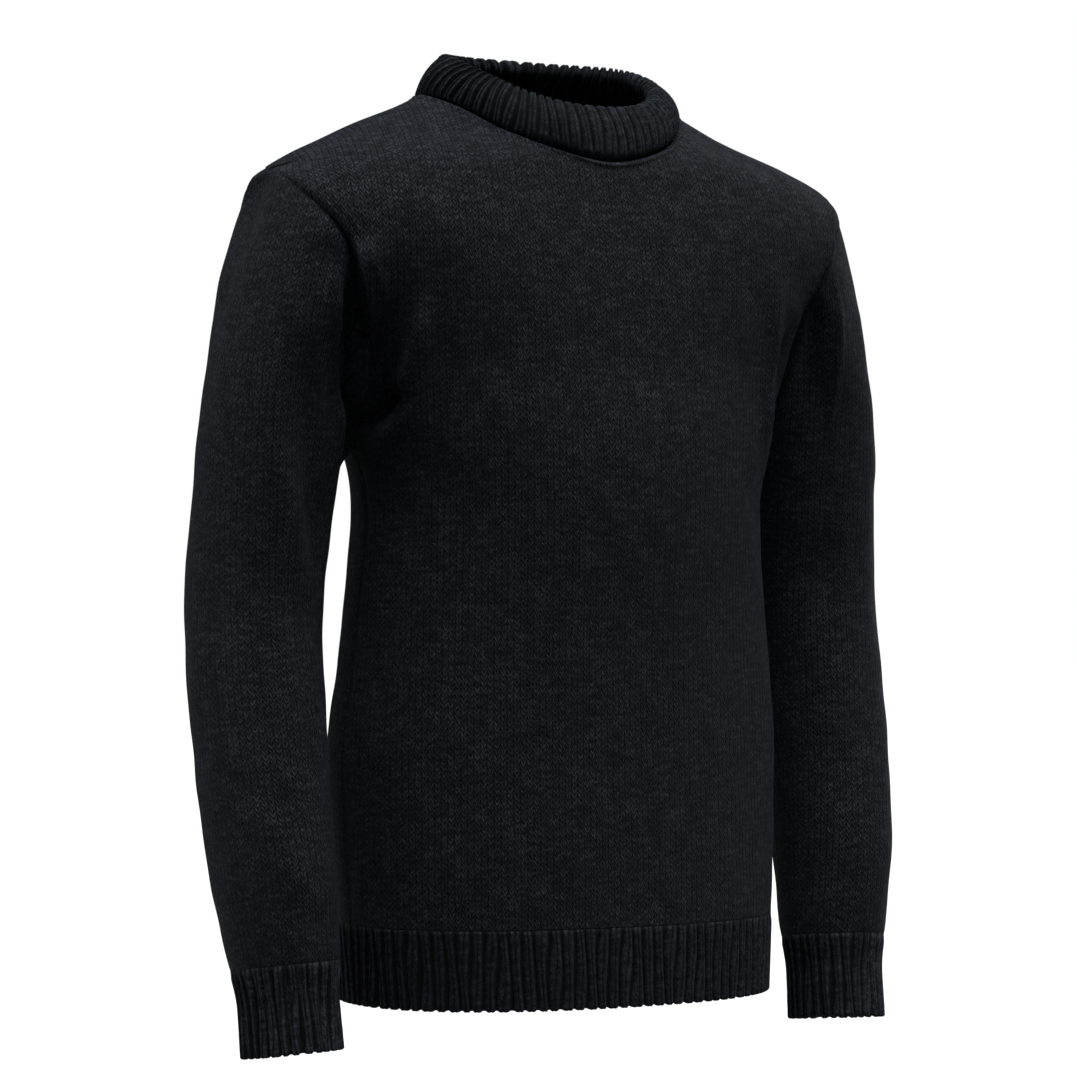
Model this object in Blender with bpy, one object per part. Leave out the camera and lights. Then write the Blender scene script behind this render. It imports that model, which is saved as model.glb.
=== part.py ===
"""A crewneck sweater in heavy knit, filled out as if it were worn, with nobody in it.

Metres, +Z up. The front faces -Y, and +X is the wearer's left. The origin is in the middle of
the neck hole, level with the points where the shoulder seams meet the collar: the neck and
shoulders of a wearer hold the sweater there. Every piece is a wall of cloth, never a filled body.
"""
from math import cos, pi, radians, sin

import bmesh
import bpy
import numpy as np

# ---- driving sizes -------------------------------------------------------------------------

HEM_Z = -0.655           # lower edge of the hem rib
RIB_TOP_Z = -0.597       # where the hem rib meets the panels
UNDERARM_Z = -0.252      # top of the side seams
SHOULDER_Z = -0.053      # outer end of the shoulder seams
NECK_HALF_WIDTH = 0.102  # neck seam, seen from above
NECK_FRONT_Y = -0.085
NECK_BACK_Y = 0.079
NECK_LEAN = 0.027        # the neck sits a little higher on the wearer's right, metres per metre
LEAN_DROP = 0.12         # how far below the origin the lean dies away
LEAN_REACH = 0.25        # how far out to the sides it dies away
LEAN_MOST = 1.5          # its greatest share, at the top of the collar
RIM_HALF_WIDTH = 0.0805  # outside of the collar's rim, seen from above
RIM_FRONT_Y = -0.068
RIM_BACK_Y = 0.064
RIM_SIDE_Z = 0.031       # the rim's height at the sides, front and back
RIM_FRONT_Z = -0.004
RIM_BACK_Z = 0.0435
RIM_SQUARENESS = 2.3     # 2 is a true oval

CLOTH = 0.003            # heavy knit, one layer
COLLAR_CLOTH = 0.007     # the collar band is folded double
SEAM_GAP = 0.0003        # between two pieces that are sewn together

PANEL_COLUMNS = 22       # across one panel
SIDE_ROWS = 11           # along a side seam
ARMHOLE_ROWS = 11        # along half an armhole
SHOULDER_ROWS = 6        # along a shoulder seam
CAP_ROWS = 8             # from the armhole to the upper arm
ARM_ROWS = 13            # from the upper arm to the cuff
RIB_ROWS = 2             # up a hem or cuff

RELAX_ROUNDS = 60        # passes that even out the spacing of a panel's points
SETTLE_ROUNDS = 4        # steps that bring a point onto the body's form
HALVINGS = 30            # steps that find a height by halving
CURVE_STEPS = 400        # steps along a curve before its points are spaced evenly
NUDGE = 0.00001          # small move, to measure a slope
RUN_NUDGE = 0.01         # small move down a sleeve, as a share of its run

HEM_RIBS = 98            # all round
CUFF_RIBS = 28
COLLAR_RIBS = 66
RIB_RELIEF = 0.0016      # height of a rib over the groove beside it
COLLAR_BULGE = 0.0035    # how far the band rounds out between seam and rim
COLLAR_ROWS = (0.45, 1.0)    # rows of points up the band, as shares of its height

KNIT_COLOUR = (0.013, 0.015, 0.020)
RIB_COLOUR = (0.011, 0.012, 0.016)
KNIT_ROUGHNESS = 0.95

# ---- tables --------------------------------------------------------------------------------

# Level sections of the body: height, half_width, half_depth, centre_y, squareness.
BODY_SECTIONS = (
    (-0.655, 0.1645, 0.1145, -0.0090, 2.30),
    (-0.600, 0.1670, 0.1170, -0.0075, 2.30),
    (-0.540, 0.1700, 0.1180, -0.0060, 2.30),
    (-0.460, 0.1730, 0.1170, -0.0045, 2.25),
    (-0.380, 0.1665, 0.1160, -0.0060, 2.15),
    (-0.290, 0.1605, 0.1180, -0.0085, 2.05),
    (-0.240, 0.1730, 0.1170, -0.0070, 2.05),
    (-0.195, 0.1935, 0.1135, -0.0030, 2.05),
    (-0.140, 0.2205, 0.1100, 0.0000, 2.30),
    (-0.095, 0.2400, 0.1030, 0.0020, 2.70),
    (-0.064, 0.2440, 0.0960, 0.0040, 2.40),
    (-0.042, 0.2150, 0.0900, 0.0050, 2.05),
    (-0.021, 0.1660, 0.0770, 0.0100, 1.80),
    (0.000, 0.1190, 0.0690, 0.0130, 1.70),
    (0.012, 0.0980, 0.0640, 0.0140, 1.70),
    (0.030, 0.0840, 0.0560, 0.0140, 1.80),
)

# Half an armhole on the wearer's left, from the shoulder seam down: share, x, y, height.
ARMHOLE_FRONT = (
    (0.0, 0.2310, 0.0040, SHOULDER_Z),
    (0.1, 0.2340, -0.0300, -0.0640),
    (0.2, 0.2260, -0.0620, -0.0810),
    (0.3, 0.2120, -0.0720, -0.1020),
    (0.5, 0.1940, -0.0640, -0.1400),
    (0.7, 0.1870, -0.0480, -0.1850),
    (0.9, 0.1780, -0.0250, -0.2260),
    (1.0, 0.1680, -0.0070, UNDERARM_Z),
)
ARMHOLE_BACK = (
    (0.0, 0.2310, 0.0040, SHOULDER_Z),
    (0.1, 0.2340, 0.0340, -0.0640),
    (0.2, 0.2280, 0.0620, -0.0830),
    (0.4, 0.2060, 0.0740, -0.1250),
    (0.6, 0.1920, 0.0660, -0.1700),
    (0.8, 0.1830, 0.0440, -0.2150),
    (1.0, 0.1680, -0.0070, UNDERARM_Z),
)

# Sections of a sleeve on the wearer's left, from the upper arm down:
# run, x, y, height, half_width, half_depth, turn in degrees, squareness.
SLEEVE_SECTIONS = (
    (0.00, 0.2290, 0.0130, -0.2700, 0.0515, 0.0610, 14, 2.1),
    (0.22, 0.2375, 0.0155, -0.3620, 0.0495, 0.0560, 10, 2.1),
    (0.43, 0.2410, 0.0030, -0.4500, 0.0475, 0.0550, 6, 2.1),
    (0.66, 0.2395, -0.0165, -0.5500, 0.0435, 0.0500, 2, 2.1),
    (0.78, 0.2355, -0.0240, -0.6000, 0.0410, 0.0440, 0, 2.1),
    (0.83, 0.2340, -0.0265, -0.6210, 0.0355, 0.0375, 0, 2.1),
    (1.00, 0.2320, -0.0345, -0.6840, 0.0355, 0.0370, 0, 2.1),
)
CUFF_RUN = 0.83          # where the cuff's rib starts

# Direction in which the left sleeve leaves its armhole: outwards, forwards at the front of the
# armhole and as much backwards at its back, and upwards, which is negative as a sleeve hangs down.
LEAVE_TOP = (0.32, 0.22, -0.92)
LEAVE_UNDERARM = (0.55, 0.0, -0.83)
LEAVE_SHARE = 0.9        # how strongly the sleeve keeps to that direction

FOLD_FADE = 0.02         # folds die away over this length at a sleeve's ends
RIB_FADE = 0.04          # and over this one above the hem rib
SHARP_DEGREES = 30       # edges sharper than this are shaded as edges


# ---- curves through the tables ---------------------------------------------------------------

def along(table, where):
    """Reads a smooth curve through a table's rows at the given values of its first column."""
    rows = np.array(table, float)
    key = rows[:, 0]
    where = np.atleast_1d(where).astype(float)
    low = np.clip(np.searchsorted(key, where) - 1, 0, len(key) - 2)

    def slope(index):
        before = np.clip(index - 1, 0, len(key) - 1)
        after = np.clip(index + 1, 0, len(key) - 1)
        return (rows[after, 1:] - rows[before, 1:]) / (key[after] - key[before])[:, None]

    step = (key[low + 1] - key[low])[:, None]
    t = (where[:, None] - key[low][:, None]) / step
    return hermite(rows[low, 1:], rows[low + 1, 1:], slope(low) * step, slope(low + 1) * step, t)


def hermite(start, end, leave, arrive, t):
    """Cubic from start to end, with the given directions at its ends."""
    return ((2 * t**3 - 3 * t**2 + 1) * start + (t**3 - 2 * t**2 + t) * leave
            + (-2 * t**3 + 3 * t**2) * end + (t**3 - t**2) * arrive)


def unit(vectors):
    return vectors / np.linalg.norm(vectors, axis=-1, keepdims=True)


def even_points(curve, count):
    """Points at equal spacing along a polyline, both ends included."""
    walk = np.concatenate([[0], np.cumsum(np.linalg.norm(np.diff(curve, axis=0), axis=1))])
    want = np.linspace(0, walk[-1], count)
    return np.stack([np.interp(want, walk, curve[:, axis]) for axis in range(3)], 1)


# ---- the body's form ---------------------------------------------------------------------------

def body_reach(points):
    """How far out points lie, level, as a share of the way to the body's sections."""
    half_width, half_depth, centre_y, square = along(BODY_SECTIONS, points[:, 2]).T
    wide = np.abs(points[:, 0] / half_width)**square
    deep = np.abs((points[:, 1] - centre_y) / half_depth)**square
    return (wide + deep)**(1 / square)


def settle(points):
    """Moves points by the shortest way onto the body's form."""
    flat = np.array(points, float).reshape(-1, 3)
    for _ in range(SETTLE_ROUNDS):
        reach = body_reach(flat)
        slope = np.stack([body_reach(flat + step) - reach for step in np.eye(3) * NUDGE], 1) / NUDGE
        flat = flat - slope * ((reach - 1) / np.sum(slope**2, axis=1))[:, None]
    return flat.reshape(np.shape(points))


def level_line(height, turns):
    """Points of one level section; turn 0 is the wearer's left and -90 degrees centre front."""
    half_width, half_depth, centre_y, square = along(BODY_SECTIONS, height)[0]
    across, deep = np.cos(turns), np.sin(turns)
    x = half_width * np.sign(across) * np.abs(across)**(2 / square)
    y = half_depth * np.sign(deep) * np.abs(deep)**(2 / square) + centre_y
    return np.stack([x, y, np.full(len(x), height)], 1)


def oval(turns, half_width, front_y, side_y, back_y):
    """Plan of a line round the neck."""
    reach = np.where(np.sin(turns) < 0, side_y - front_y, back_y - side_y)
    return half_width * np.cos(turns), side_y + reach * np.sin(turns)


def neck_side():
    """Height and y of the neck seam where it crosses the shoulder seams."""
    heights = np.linspace(SHOULDER_Z, BODY_SECTIONS[-1][0], CURVE_STEPS)
    sections = along(BODY_SECTIONS, heights)
    place = np.argmax(sections[:, 0] < NECK_HALF_WIDTH)
    return heights[place], sections[place, 2]


def neck_line(turns):
    """Outer points of the neck seam: an oval from above, laid on the shoulders."""
    side_z, side_y = neck_side()
    x, y = oval(turns, NECK_HALF_WIDTH, NECK_FRONT_Y, side_y, NECK_BACK_Y)
    low, high = np.full(len(x), SHOULDER_Z), np.full(len(x), side_z)
    for _ in range(HALVINGS):
        middle = (low + high) / 2
        outside = body_reach(np.stack([x, y, middle], 1)) > 1
        low, high = np.where(outside, low, middle), np.where(outside, middle, high)
    return np.stack([x, y, low], 1)


def seam_point(height):
    """Point of the side or shoulder seam on the wearer's left."""
    return level_line(height, np.zeros(1))[0]


def armhole(back, count):
    """Half an armhole on the wearer's left, from the shoulder seam to the side seam."""
    table = ARMHOLE_BACK if back else ARMHOLE_FRONT
    curve = settle(along(table, np.linspace(0, 1, CURVE_STEPS + 1)))
    curve[0], curve[-1] = seam_point(SHOULDER_Z), seam_point(UNDERARM_Z)
    return even_points(curve, count)


def side_edge(back):
    """Side seam, armhole and shoulder seam of a panel on the wearer's left, from the rib up."""
    seam = np.array([seam_point(z) for z in np.linspace(RIB_TOP_Z, UNDERARM_Z, SIDE_ROWS + 1)])
    hole = armhole(back, ARMHOLE_ROWS + 1)[::-1]
    shoulder = np.array([seam_point(z) for z in np.linspace(SHOULDER_Z, neck_side()[0], CURVE_STEPS)])
    return np.concatenate([seam[:-1], hole[:-1], even_points(shoulder, SHOULDER_ROWS + 1)])


def panel(back):
    """Outer points of the front or back, rows from the rib up to the neck."""
    start = 0 if back else -pi
    turns = np.linspace(start, start + pi, PANEL_COLUMNS + 1)
    bottom = level_line(RIB_TOP_Z, turns)
    top = neck_line(turns)
    left = side_edge(back)
    right = left * (-1, 1, 1)
    first, last = (left, right) if back else (right, left)
    walk = np.concatenate([[0], np.cumsum(np.linalg.norm(np.diff(left, axis=0), axis=1))])
    climb = left[:, 2] - RIB_TOP_Z
    rise = ((walk / walk[-1] + climb / climb[-1]) / 2)[:, None, None]
    across = ((1 - np.cos(turns - start)) / 2)[None, :, None]
    grid = (1 - rise) * bottom[None] + rise * top[None]
    grid = grid + (1 - across) * (first[:, None] - grid[:, :1]) + across * (last[:, None] - grid[:, -1:])
    for _ in range(RELAX_ROUNDS):
        grid[1:-1, 1:-1] = settle((grid[:-2, 1:-1] + grid[2:, 1:-1] + grid[1:-1, :-2] + grid[1:-1, 2:]) / 4)
    return grid


def lean(points):
    """Lifts the neck on the wearer's right and lowers it on the left, fading down the shoulders."""
    points = np.array(points, float)
    x, z = points[..., 0], points[..., 2]
    fade = np.clip(1 + z / LEAN_DROP, 0, LEAN_MOST) * np.clip(1 - (x / LEAN_REACH)**2, 0, 1)
    points[..., 2] -= NECK_LEAN * x * fade
    return points


# ---- the sleeves' form ---------------------------------------------------------------------------

def sleeve_way(run):
    """Direction down the left sleeve; the cuff keeps to one direction, so that its edge is flat."""
    run = min(run, CUFF_RUN)
    ahead = along(SLEEVE_SECTIONS, run + RUN_NUDGE)[0][:3]
    behind = along(SLEEVE_SECTIONS, max(run - RUN_NUDGE, 0))[0][:3]
    return unit(ahead - behind)


def sleeve_ring(run, turns):
    """One section of the left sleeve; turn 0 is its outer side and 90 degrees its front."""
    x, y, height, half_width, half_depth, turn, square = along(SLEEVE_SECTIONS, run)[0]
    down = sleeve_way(run)
    wide = unit(np.array([1.0, 0, 0]) - down * down[0])
    deep = np.cross(down, wide)
    across, forward = np.cos(turns), np.sin(turns)
    px = half_width * np.sign(across) * np.abs(across)**(2 / square)
    py = -half_depth * np.sign(forward) * np.abs(forward)**(2 / square)
    swing = radians(turn)
    qx = px * cos(swing) - py * sin(swing)
    qy = px * sin(swing) + py * cos(swing)
    return np.array([x, y, height]) + qx[:, None] * wide - qy[:, None] * deep


def sleeve(start):
    """Outer points of the left sleeve from its armhole, rows down to the cuff."""
    count = 2 * ARMHOLE_ROWS
    turns = np.linspace(0, 2 * pi, count, endpoint=False)
    end = sleeve_ring(0, turns)
    upper = ((1 + np.cos(turns)) / 2)[:, None]
    length = np.linalg.norm(end - start, axis=1)[:, None]
    outward, forward, upward = LEAVE_TOP
    leave_top = np.stack([np.full(count, outward), -forward * np.sin(turns), np.full(count, upward)], 1)
    leave = leave_top * upper + np.array(LEAVE_UNDERARM) * (1 - upper)
    leave = unit(leave) * length * LEAVE_SHARE
    below = sleeve_ring(2 * RUN_NUDGE, turns)
    arrive = unit(below - end) * length
    cap = [hermite(start, end, leave, arrive, t) for t in np.linspace(0, 1, CAP_ROWS + 1)]
    arm = [sleeve_ring(run, turns) for run in np.linspace(0, CUFF_RUN, ARM_ROWS + 1)[1:]]
    return np.array(cap + arm)


# ---- the collar's form -----------------------------------------------------------------------------

def turns_round_neck(points):
    """Turn of each point of the neck seam, from the wearer's left by the back."""
    return np.arctan2(points[:, 1] - neck_side()[1], points[:, 0])


def collar_rim(turns):
    """Outer points of the collar's rim, which dips at the front and rises at the back."""
    across, deep = (np.sign(part) * np.abs(part)**(2 / RIM_SQUARENESS)
                    for part in (np.cos(turns), np.sin(turns)))
    x, y = RIM_HALF_WIDTH * across, np.where(deep < 0, -RIM_FRONT_Y, RIM_BACK_Y) * deep
    tilt = (RIM_BACK_Z - RIM_FRONT_Z) / 2
    dip = RIM_SIDE_Z - (RIM_BACK_Z + RIM_FRONT_Z) / 2
    return np.stack([x, y, RIM_SIDE_Z + tilt * deep - dip * deep**2], 1)


# ---- folds -------------------------------------------------------------------------------------------

# Folds of each piece: from (x, y, height) to (x, y, height), width, rise; troughs fall.
FRONT_FOLDS = (
    (-0.180, -0.060, -0.160, -0.176, -0.048, -0.220, 0.019, -0.0090),
    (-0.160, -0.085, -0.170, -0.163, -0.080, -0.240, 0.016, 0.0020),
    (0.184, -0.060, -0.150, 0.176, -0.045, -0.225, 0.017, -0.0060),
    (0.163, -0.085, -0.150, 0.158, -0.075, -0.260, 0.018, 0.0030),
    (-0.110, -0.100, -0.300, -0.130, -0.085, -0.500, 0.030, -0.0025),
    (0.100, -0.100, -0.360, 0.115, -0.090, -0.540, 0.032, -0.0020),
)
BACK_FOLDS = (
    (-0.185, 0.065, -0.160, -0.175, 0.045, -0.225, 0.018, -0.0070),
    (-0.160, 0.085, -0.160, -0.150, 0.085, -0.270, 0.018, 0.0025),
    (0.185, 0.065, -0.160, 0.175, 0.045, -0.225, 0.018, -0.0080),
    (0.160, 0.085, -0.150, 0.145, 0.090, -0.260, 0.018, 0.0030),
    (-0.020, 0.112, -0.430, 0.090, 0.100, -0.520, 0.026, -0.0030),
    (0.060, 0.105, -0.300, 0.110, 0.090, -0.420, 0.030, -0.0025),
)
SLEEVE_LEFT_FOLDS = (
    (0.206, -0.060, -0.130, 0.194, -0.045, -0.205, 0.016, -0.0060),
    (0.250, -0.045, -0.150, 0.262, -0.020, -0.260, 0.014, 0.0025),
    (0.225, -0.045, -0.220, 0.215, -0.035, -0.340, 0.022, -0.0050),
    (0.262, -0.045, -0.420, 0.225, -0.055, -0.500, 0.020, -0.0035),
    (0.235, 0.055, -0.400, 0.262, 0.030, -0.480, 0.020, -0.0035),
)
SLEEVE_RIGHT_FOLDS = (
    (0.210, -0.062, -0.120, 0.194, -0.045, -0.210, 0.017, -0.0080),
    (0.220, -0.050, -0.190, 0.208, -0.038, -0.300, 0.024, -0.0045),
    (0.205, -0.035, -0.300, 0.210, -0.030, -0.380, 0.024, -0.0030),
    (0.235, 0.055, -0.380, 0.262, 0.030, -0.470, 0.020, -0.0035),
    (0.262, -0.050, -0.520, 0.230, -0.065, -0.570, 0.014, 0.0020),
)


def fold_rise(points, folds):
    """Sum of the folds at points: each is a soft ridge or trough along a straight run."""
    rise = np.zeros(points.shape[:-1])
    for fold in folds:
        start, end = np.array(fold[:3]), np.array(fold[3:6])
        width, top = fold[6:]
        share = np.clip((points - start) @ (end - start) / np.sum((end - start)**2), 0, 1)
        gap = np.linalg.norm(points - start - share[..., None] * (end - start), axis=-1)
        rise += top * np.exp(-(gap / width)**2)
    return rise


def normals(grid, closed):
    """Unit normals of a grid's outer side."""
    if closed:
        along_row = np.roll(grid, -1, axis=1) - np.roll(grid, 1, axis=1)
    else:
        along_row = np.gradient(grid, axis=1)
    return unit(np.cross(along_row, np.gradient(grid, axis=0)))


def folded_panel(back):
    """Outer points of a panel with its folds; its seams at the rib and neck stay plain."""
    grid = panel(back)
    fade = np.clip((grid[..., 2] - RIB_TOP_Z) / RIB_FADE, 0, 1)
    rise = fold_rise(grid, BACK_FOLDS if back else FRONT_FOLDS) * fade
    rise[:SIDE_ROWS, [0, -1]] = 0
    rise[-SHOULDER_ROWS - 1:, [0, -1]] = 0
    return grid + rise[..., None] * normals(grid, False)


def mirrored(grid):
    """A panel's points as seen in a mirror, which makes its other side the wearer's left."""
    return grid[:, ::-1] * (-1, 1, 1)


def armhole_loop(front, back):
    """The armhole on the wearer's left of two panels, from the shoulder by the front and back."""
    rows = slice(SIDE_ROWS, SIDE_ROWS + ARMHOLE_ROWS + 1)
    down_front = front[rows, -1][::-1]
    up_back = back[rows, 0]
    return np.concatenate([down_front[:-1], up_back[:-1]])


def folded_sleeve(start, folds):
    """Outer points of a sleeve that starts from the given armhole."""
    grid = sleeve(start)
    fade = np.clip(np.linalg.norm(grid - grid[:1], axis=2) / FOLD_FADE, 0, 1)
    fade = fade * np.clip(np.linalg.norm(grid - grid[-1:], axis=2) / FOLD_FADE, 0, 1)
    rise = fold_rise(grid, folds) * fade
    return grid + rise[..., None] * normals(grid, True)


# ---- seams -------------------------------------------------------------------------------------------

def seam_frame(edge, normal_a, normal_b, towards, closed):
    """Directions at a seam: into the garment, shared by both pieces, and across to piece b."""
    inward = -unit(normal_a + normal_b)
    if closed:
        tangent = np.roll(edge, -1, axis=0) - np.roll(edge, 1, axis=0)
    else:
        tangent = np.gradient(edge, axis=0)
    across = unit(np.cross(inward, unit(tangent)))
    across = across * np.sign(np.sum(across * towards, axis=1))[:, None]
    return inward, across


def armhole_frame(front, back, arm):
    """Seam directions round the left armhole, level with the side and shoulder seams' planes."""
    normal_panels = armhole_loop(normals(front, False), normals(back, False))
    inward, across = seam_frame(arm[0], normal_panels, normals(arm, True)[0], arm[1] - arm[0], True)
    for corner in (0, ARMHOLE_ROWS):
        inward[corner, 1] = 0
        across[corner, 1] = 0
    return unit(inward), unit(across)


def neck_frame(front, back, band):
    """Seam directions round the neck, from the wearer's right by the front."""
    edge = band[0]
    normal_panels = np.concatenate([normals(front, False)[-1, :-1], normals(back, False)[-1, :-1]])
    inward, across = seam_frame(edge, normal_panels, normals(band, True)[0], band[1] - band[0], True)
    for corner in (0, PANEL_COLUMNS):
        inward[corner, 1] = 0
        across[corner, 1] = 0
    return unit(inward), unit(across)


# ---- pieces --------------------------------------------------------------------------------------------

def panel_wall(grid, back, left_frame, right_frame, neck):
    """Outer and inner points of a panel, with its edges set back from the seams."""
    inward = -normals(grid, False)
    inward[0, :, 2] = 0
    inward[:, [0, -1], 1] = 0
    shift = np.zeros_like(grid)
    shift[0, :, 2] = SEAM_GAP / 2
    seam_rows = [*range(SIDE_ROWS + 1), *range(SIDE_ROWS + ARMHOLE_ROWS, len(grid))]
    for column in (0, -1):
        shift[seam_rows, column, 1] = SEAM_GAP / 2 if back else -SEAM_GAP / 2
    left_column = 0 if back else -1
    right_column = -1 - left_column
    sides = ((left_column, left_frame, 1), (right_column, right_frame, -1))
    for column, (into, across), side in sides:
        for step in range(ARMHOLE_ROWS + 1):
            spot = ARMHOLE_ROWS + step if back else ARMHOLE_ROWS - step
            spot %= 2 * ARMHOLE_ROWS
            inward[SIDE_ROWS + step, column] = into[spot] * (side, 1, 1)
            shift[SIDE_ROWS + step, column] -= across[spot] * (side, 1, 1) * SEAM_GAP / 2
    into, across = neck
    first = PANEL_COLUMNS if back else 0
    places = np.arange(first, first + PANEL_COLUMNS + 1) % (2 * PANEL_COLUMNS)
    inward[-1] = into[places]
    shift[-1] -= across[places] * SEAM_GAP / 2
    outer = grid + shift
    inner = outer + unit(inward) * CLOTH
    return outer, inner


def sleeve_wall(grid, frame):
    """Outer and inner points of a sleeve, set back from the armhole."""
    inward = -normals(grid, True)
    down = sleeve_way(CUFF_RUN)
    inward[-1] -= (inward[-1] @ down)[:, None] * down
    into, across = frame
    inward[0] = into
    outer = grid.copy()
    outer[0] += across * SEAM_GAP / 2
    return outer, outer + unit(inward) * CLOTH


def cuff_wall():
    """Outer and inner points of the left cuff: raised ribs over a plain inside."""
    turns = np.linspace(0, 2 * pi, 2 * CUFF_RIBS, endpoint=False)
    runs = np.linspace(CUFF_RUN, 1, RIB_ROWS + 1)
    down = sleeve_way(CUFF_RUN)
    rings = np.array([sleeve_ring(run, turns) for run in runs])
    rings[0] += down * SEAM_GAP
    outward = normals(rings, True)
    outward -= (outward @ down)[..., None] * down
    outward = unit(outward)
    outer = rings + outward * rib_rise(2 * CUFF_RIBS)[:, None]
    return outer, rings - outward * CLOTH


def hem_wall(back):
    """Outer and inner points of half the hem rib."""
    start = 0 if back else -pi
    turns = np.linspace(start, start + pi, HEM_RIBS + 1)
    heights = np.linspace(HEM_Z, RIB_TOP_Z - SEAM_GAP / 2, RIB_ROWS + 1)
    rings = np.array([level_line(height, turns) for height in heights])
    outward = normals(rings, False)
    outward[..., 2] = 0
    outward[:, [0, -1], 1] = 0
    outward = unit(outward)
    rings[:, [0, -1], 1] += SEAM_GAP / 2 if back else -SEAM_GAP / 2
    outer = rings + outward * rib_rise(HEM_RIBS + 1)[:, None]
    return outer, rings - outward * CLOTH


def rib_rise(count):
    """Height of ribs at points that lie in turn on a rib and in a groove."""
    return np.where(np.arange(count) % 2 == 0, 0.0, RIB_RELIEF)


def collar_wall(edge, into, across):
    """Rows of points round the doubled band: up its outside, over its rim and down its inside."""
    count = 2 * COLLAR_RIBS
    closed = [np.concatenate([part, part[:1]]) for part in (edge, into, across)]
    walk = np.concatenate([[0], np.cumsum(np.linalg.norm(np.diff(closed[0], axis=0), axis=1))])
    want = np.linspace(0, walk[-1], count, endpoint=False)
    edge, into, across = (np.stack([np.interp(want, walk, part[:, axis]) for axis in range(3)], 1)
                          for part in closed)
    foot = edge + unit(across) * SEAM_GAP / 2
    rim = collar_rim(turns_round_neck(foot))
    band = np.array([foot, rim])
    out = normals(band, True)[0]
    up = unit(rim - foot)
    rise = rib_rise(count)[:, None]
    outside = [foot]
    inside = [foot + unit(into) * COLLAR_CLOTH]
    for share in COLLAR_ROWS:
        bulge = COLLAR_BULGE * 4 * share * (1 - share)
        middle = foot + (rim - foot) * share + out * bulge
        outside.append(middle + out * rise)
        inside.append(middle - out * COLLAR_CLOTH)
    centre = rim - out * COLLAR_CLOTH / 2
    fold = []
    for angle in (pi / 4, pi / 2, 3 * pi / 4):
        around = out * cos(angle) + up * sin(angle)
        fold.append(centre + around * (COLLAR_CLOTH / 2 + rise * sin(angle)))
    return np.array(outside + fold + inside[::-1])


# ---- meshes --------------------------------------------------------------------------------------------

def wall_faces(rows, columns, closed):
    """Faces of a wall whose outer points come first and whose inner points follow."""
    size = rows * columns
    faces = []
    last = columns if closed else columns - 1
    for row in range(rows - 1):
        for column in range(last):
            after = (column + 1) % columns
            a, b = row * columns + column, row * columns + after
            c, d = b + columns, a + columns
            faces.append((a, b, c, d))
            faces.append((size + d, size + c, size + b, size + a))
    for column in range(last):
        after = (column + 1) % columns
        faces.append((column, size + column, size + after, after))
        top = (rows - 1) * columns
        faces.append((top + after, size + top + after, size + top + column, top + column))
    if not closed:
        for row in range(rows - 1):
            low, high = row * columns, (row + 1) * columns
            faces.append((low, high, size + high, size + low))
            low, high = low + columns - 1, high + columns - 1
            faces.append((high, low, size + low, size + high))
    return faces


def ring_faces(rows, columns):
    """Faces of a tube of rows that closes both round the rows and from the last row to the first."""
    faces = []
    for row in range(rows):
        for column in range(columns):
            after = (column + 1) % columns
            above = (row + 1) % rows
            faces.append((row * columns + column, row * columns + after,
                          above * columns + after, above * columns + column))
    return faces


def make_piece(name, points, faces, material):
    """One named object from points and faces, with its faces turned outwards."""
    mesh = bpy.data.meshes.new(name)
    mesh.from_pydata([tuple(point) for point in points], [], faces)
    shape = bmesh.new()
    shape.from_mesh(mesh)
    bmesh.ops.triangulate(shape, faces=shape.faces[:])
    bmesh.ops.recalc_face_normals(shape, faces=shape.faces[:])
    if shape.calc_volume(signed=True) < 0:
        bmesh.ops.reverse_faces(shape, faces=shape.faces[:])
    shape.to_mesh(mesh)
    shape.free()
    mesh.materials.append(material)
    mesh.shade_smooth()
    mesh.set_sharp_from_angle(angle=radians(SHARP_DEGREES))
    piece = bpy.data.objects.new(name, mesh)
    bpy.context.scene.collection.objects.link(piece)
    return piece


def make_wall(name, outer, inner, closed, material):
    """A wall between two grids of points."""
    rows, columns = outer.shape[:2]
    points = np.concatenate([outer.reshape(-1, 3), inner.reshape(-1, 3)])
    return make_piece(name, points, wall_faces(rows, columns, closed), material)


def knit_material(name, colour, roughness):
    """Plain wool of one colour, given in linear light."""
    material = bpy.data.materials.new(name)
    material.use_nodes = True
    shader = material.node_tree.nodes["Principled BSDF"]
    shader.inputs["Base Color"].default_value = (*colour, 1)
    shader.inputs["Roughness"].default_value = roughness
    shader.inputs["Metallic"].default_value = 0
    return material


def clear_scene():
    for item in list(bpy.data.objects):
        bpy.data.objects.remove(item, do_unlink=True)


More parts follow.
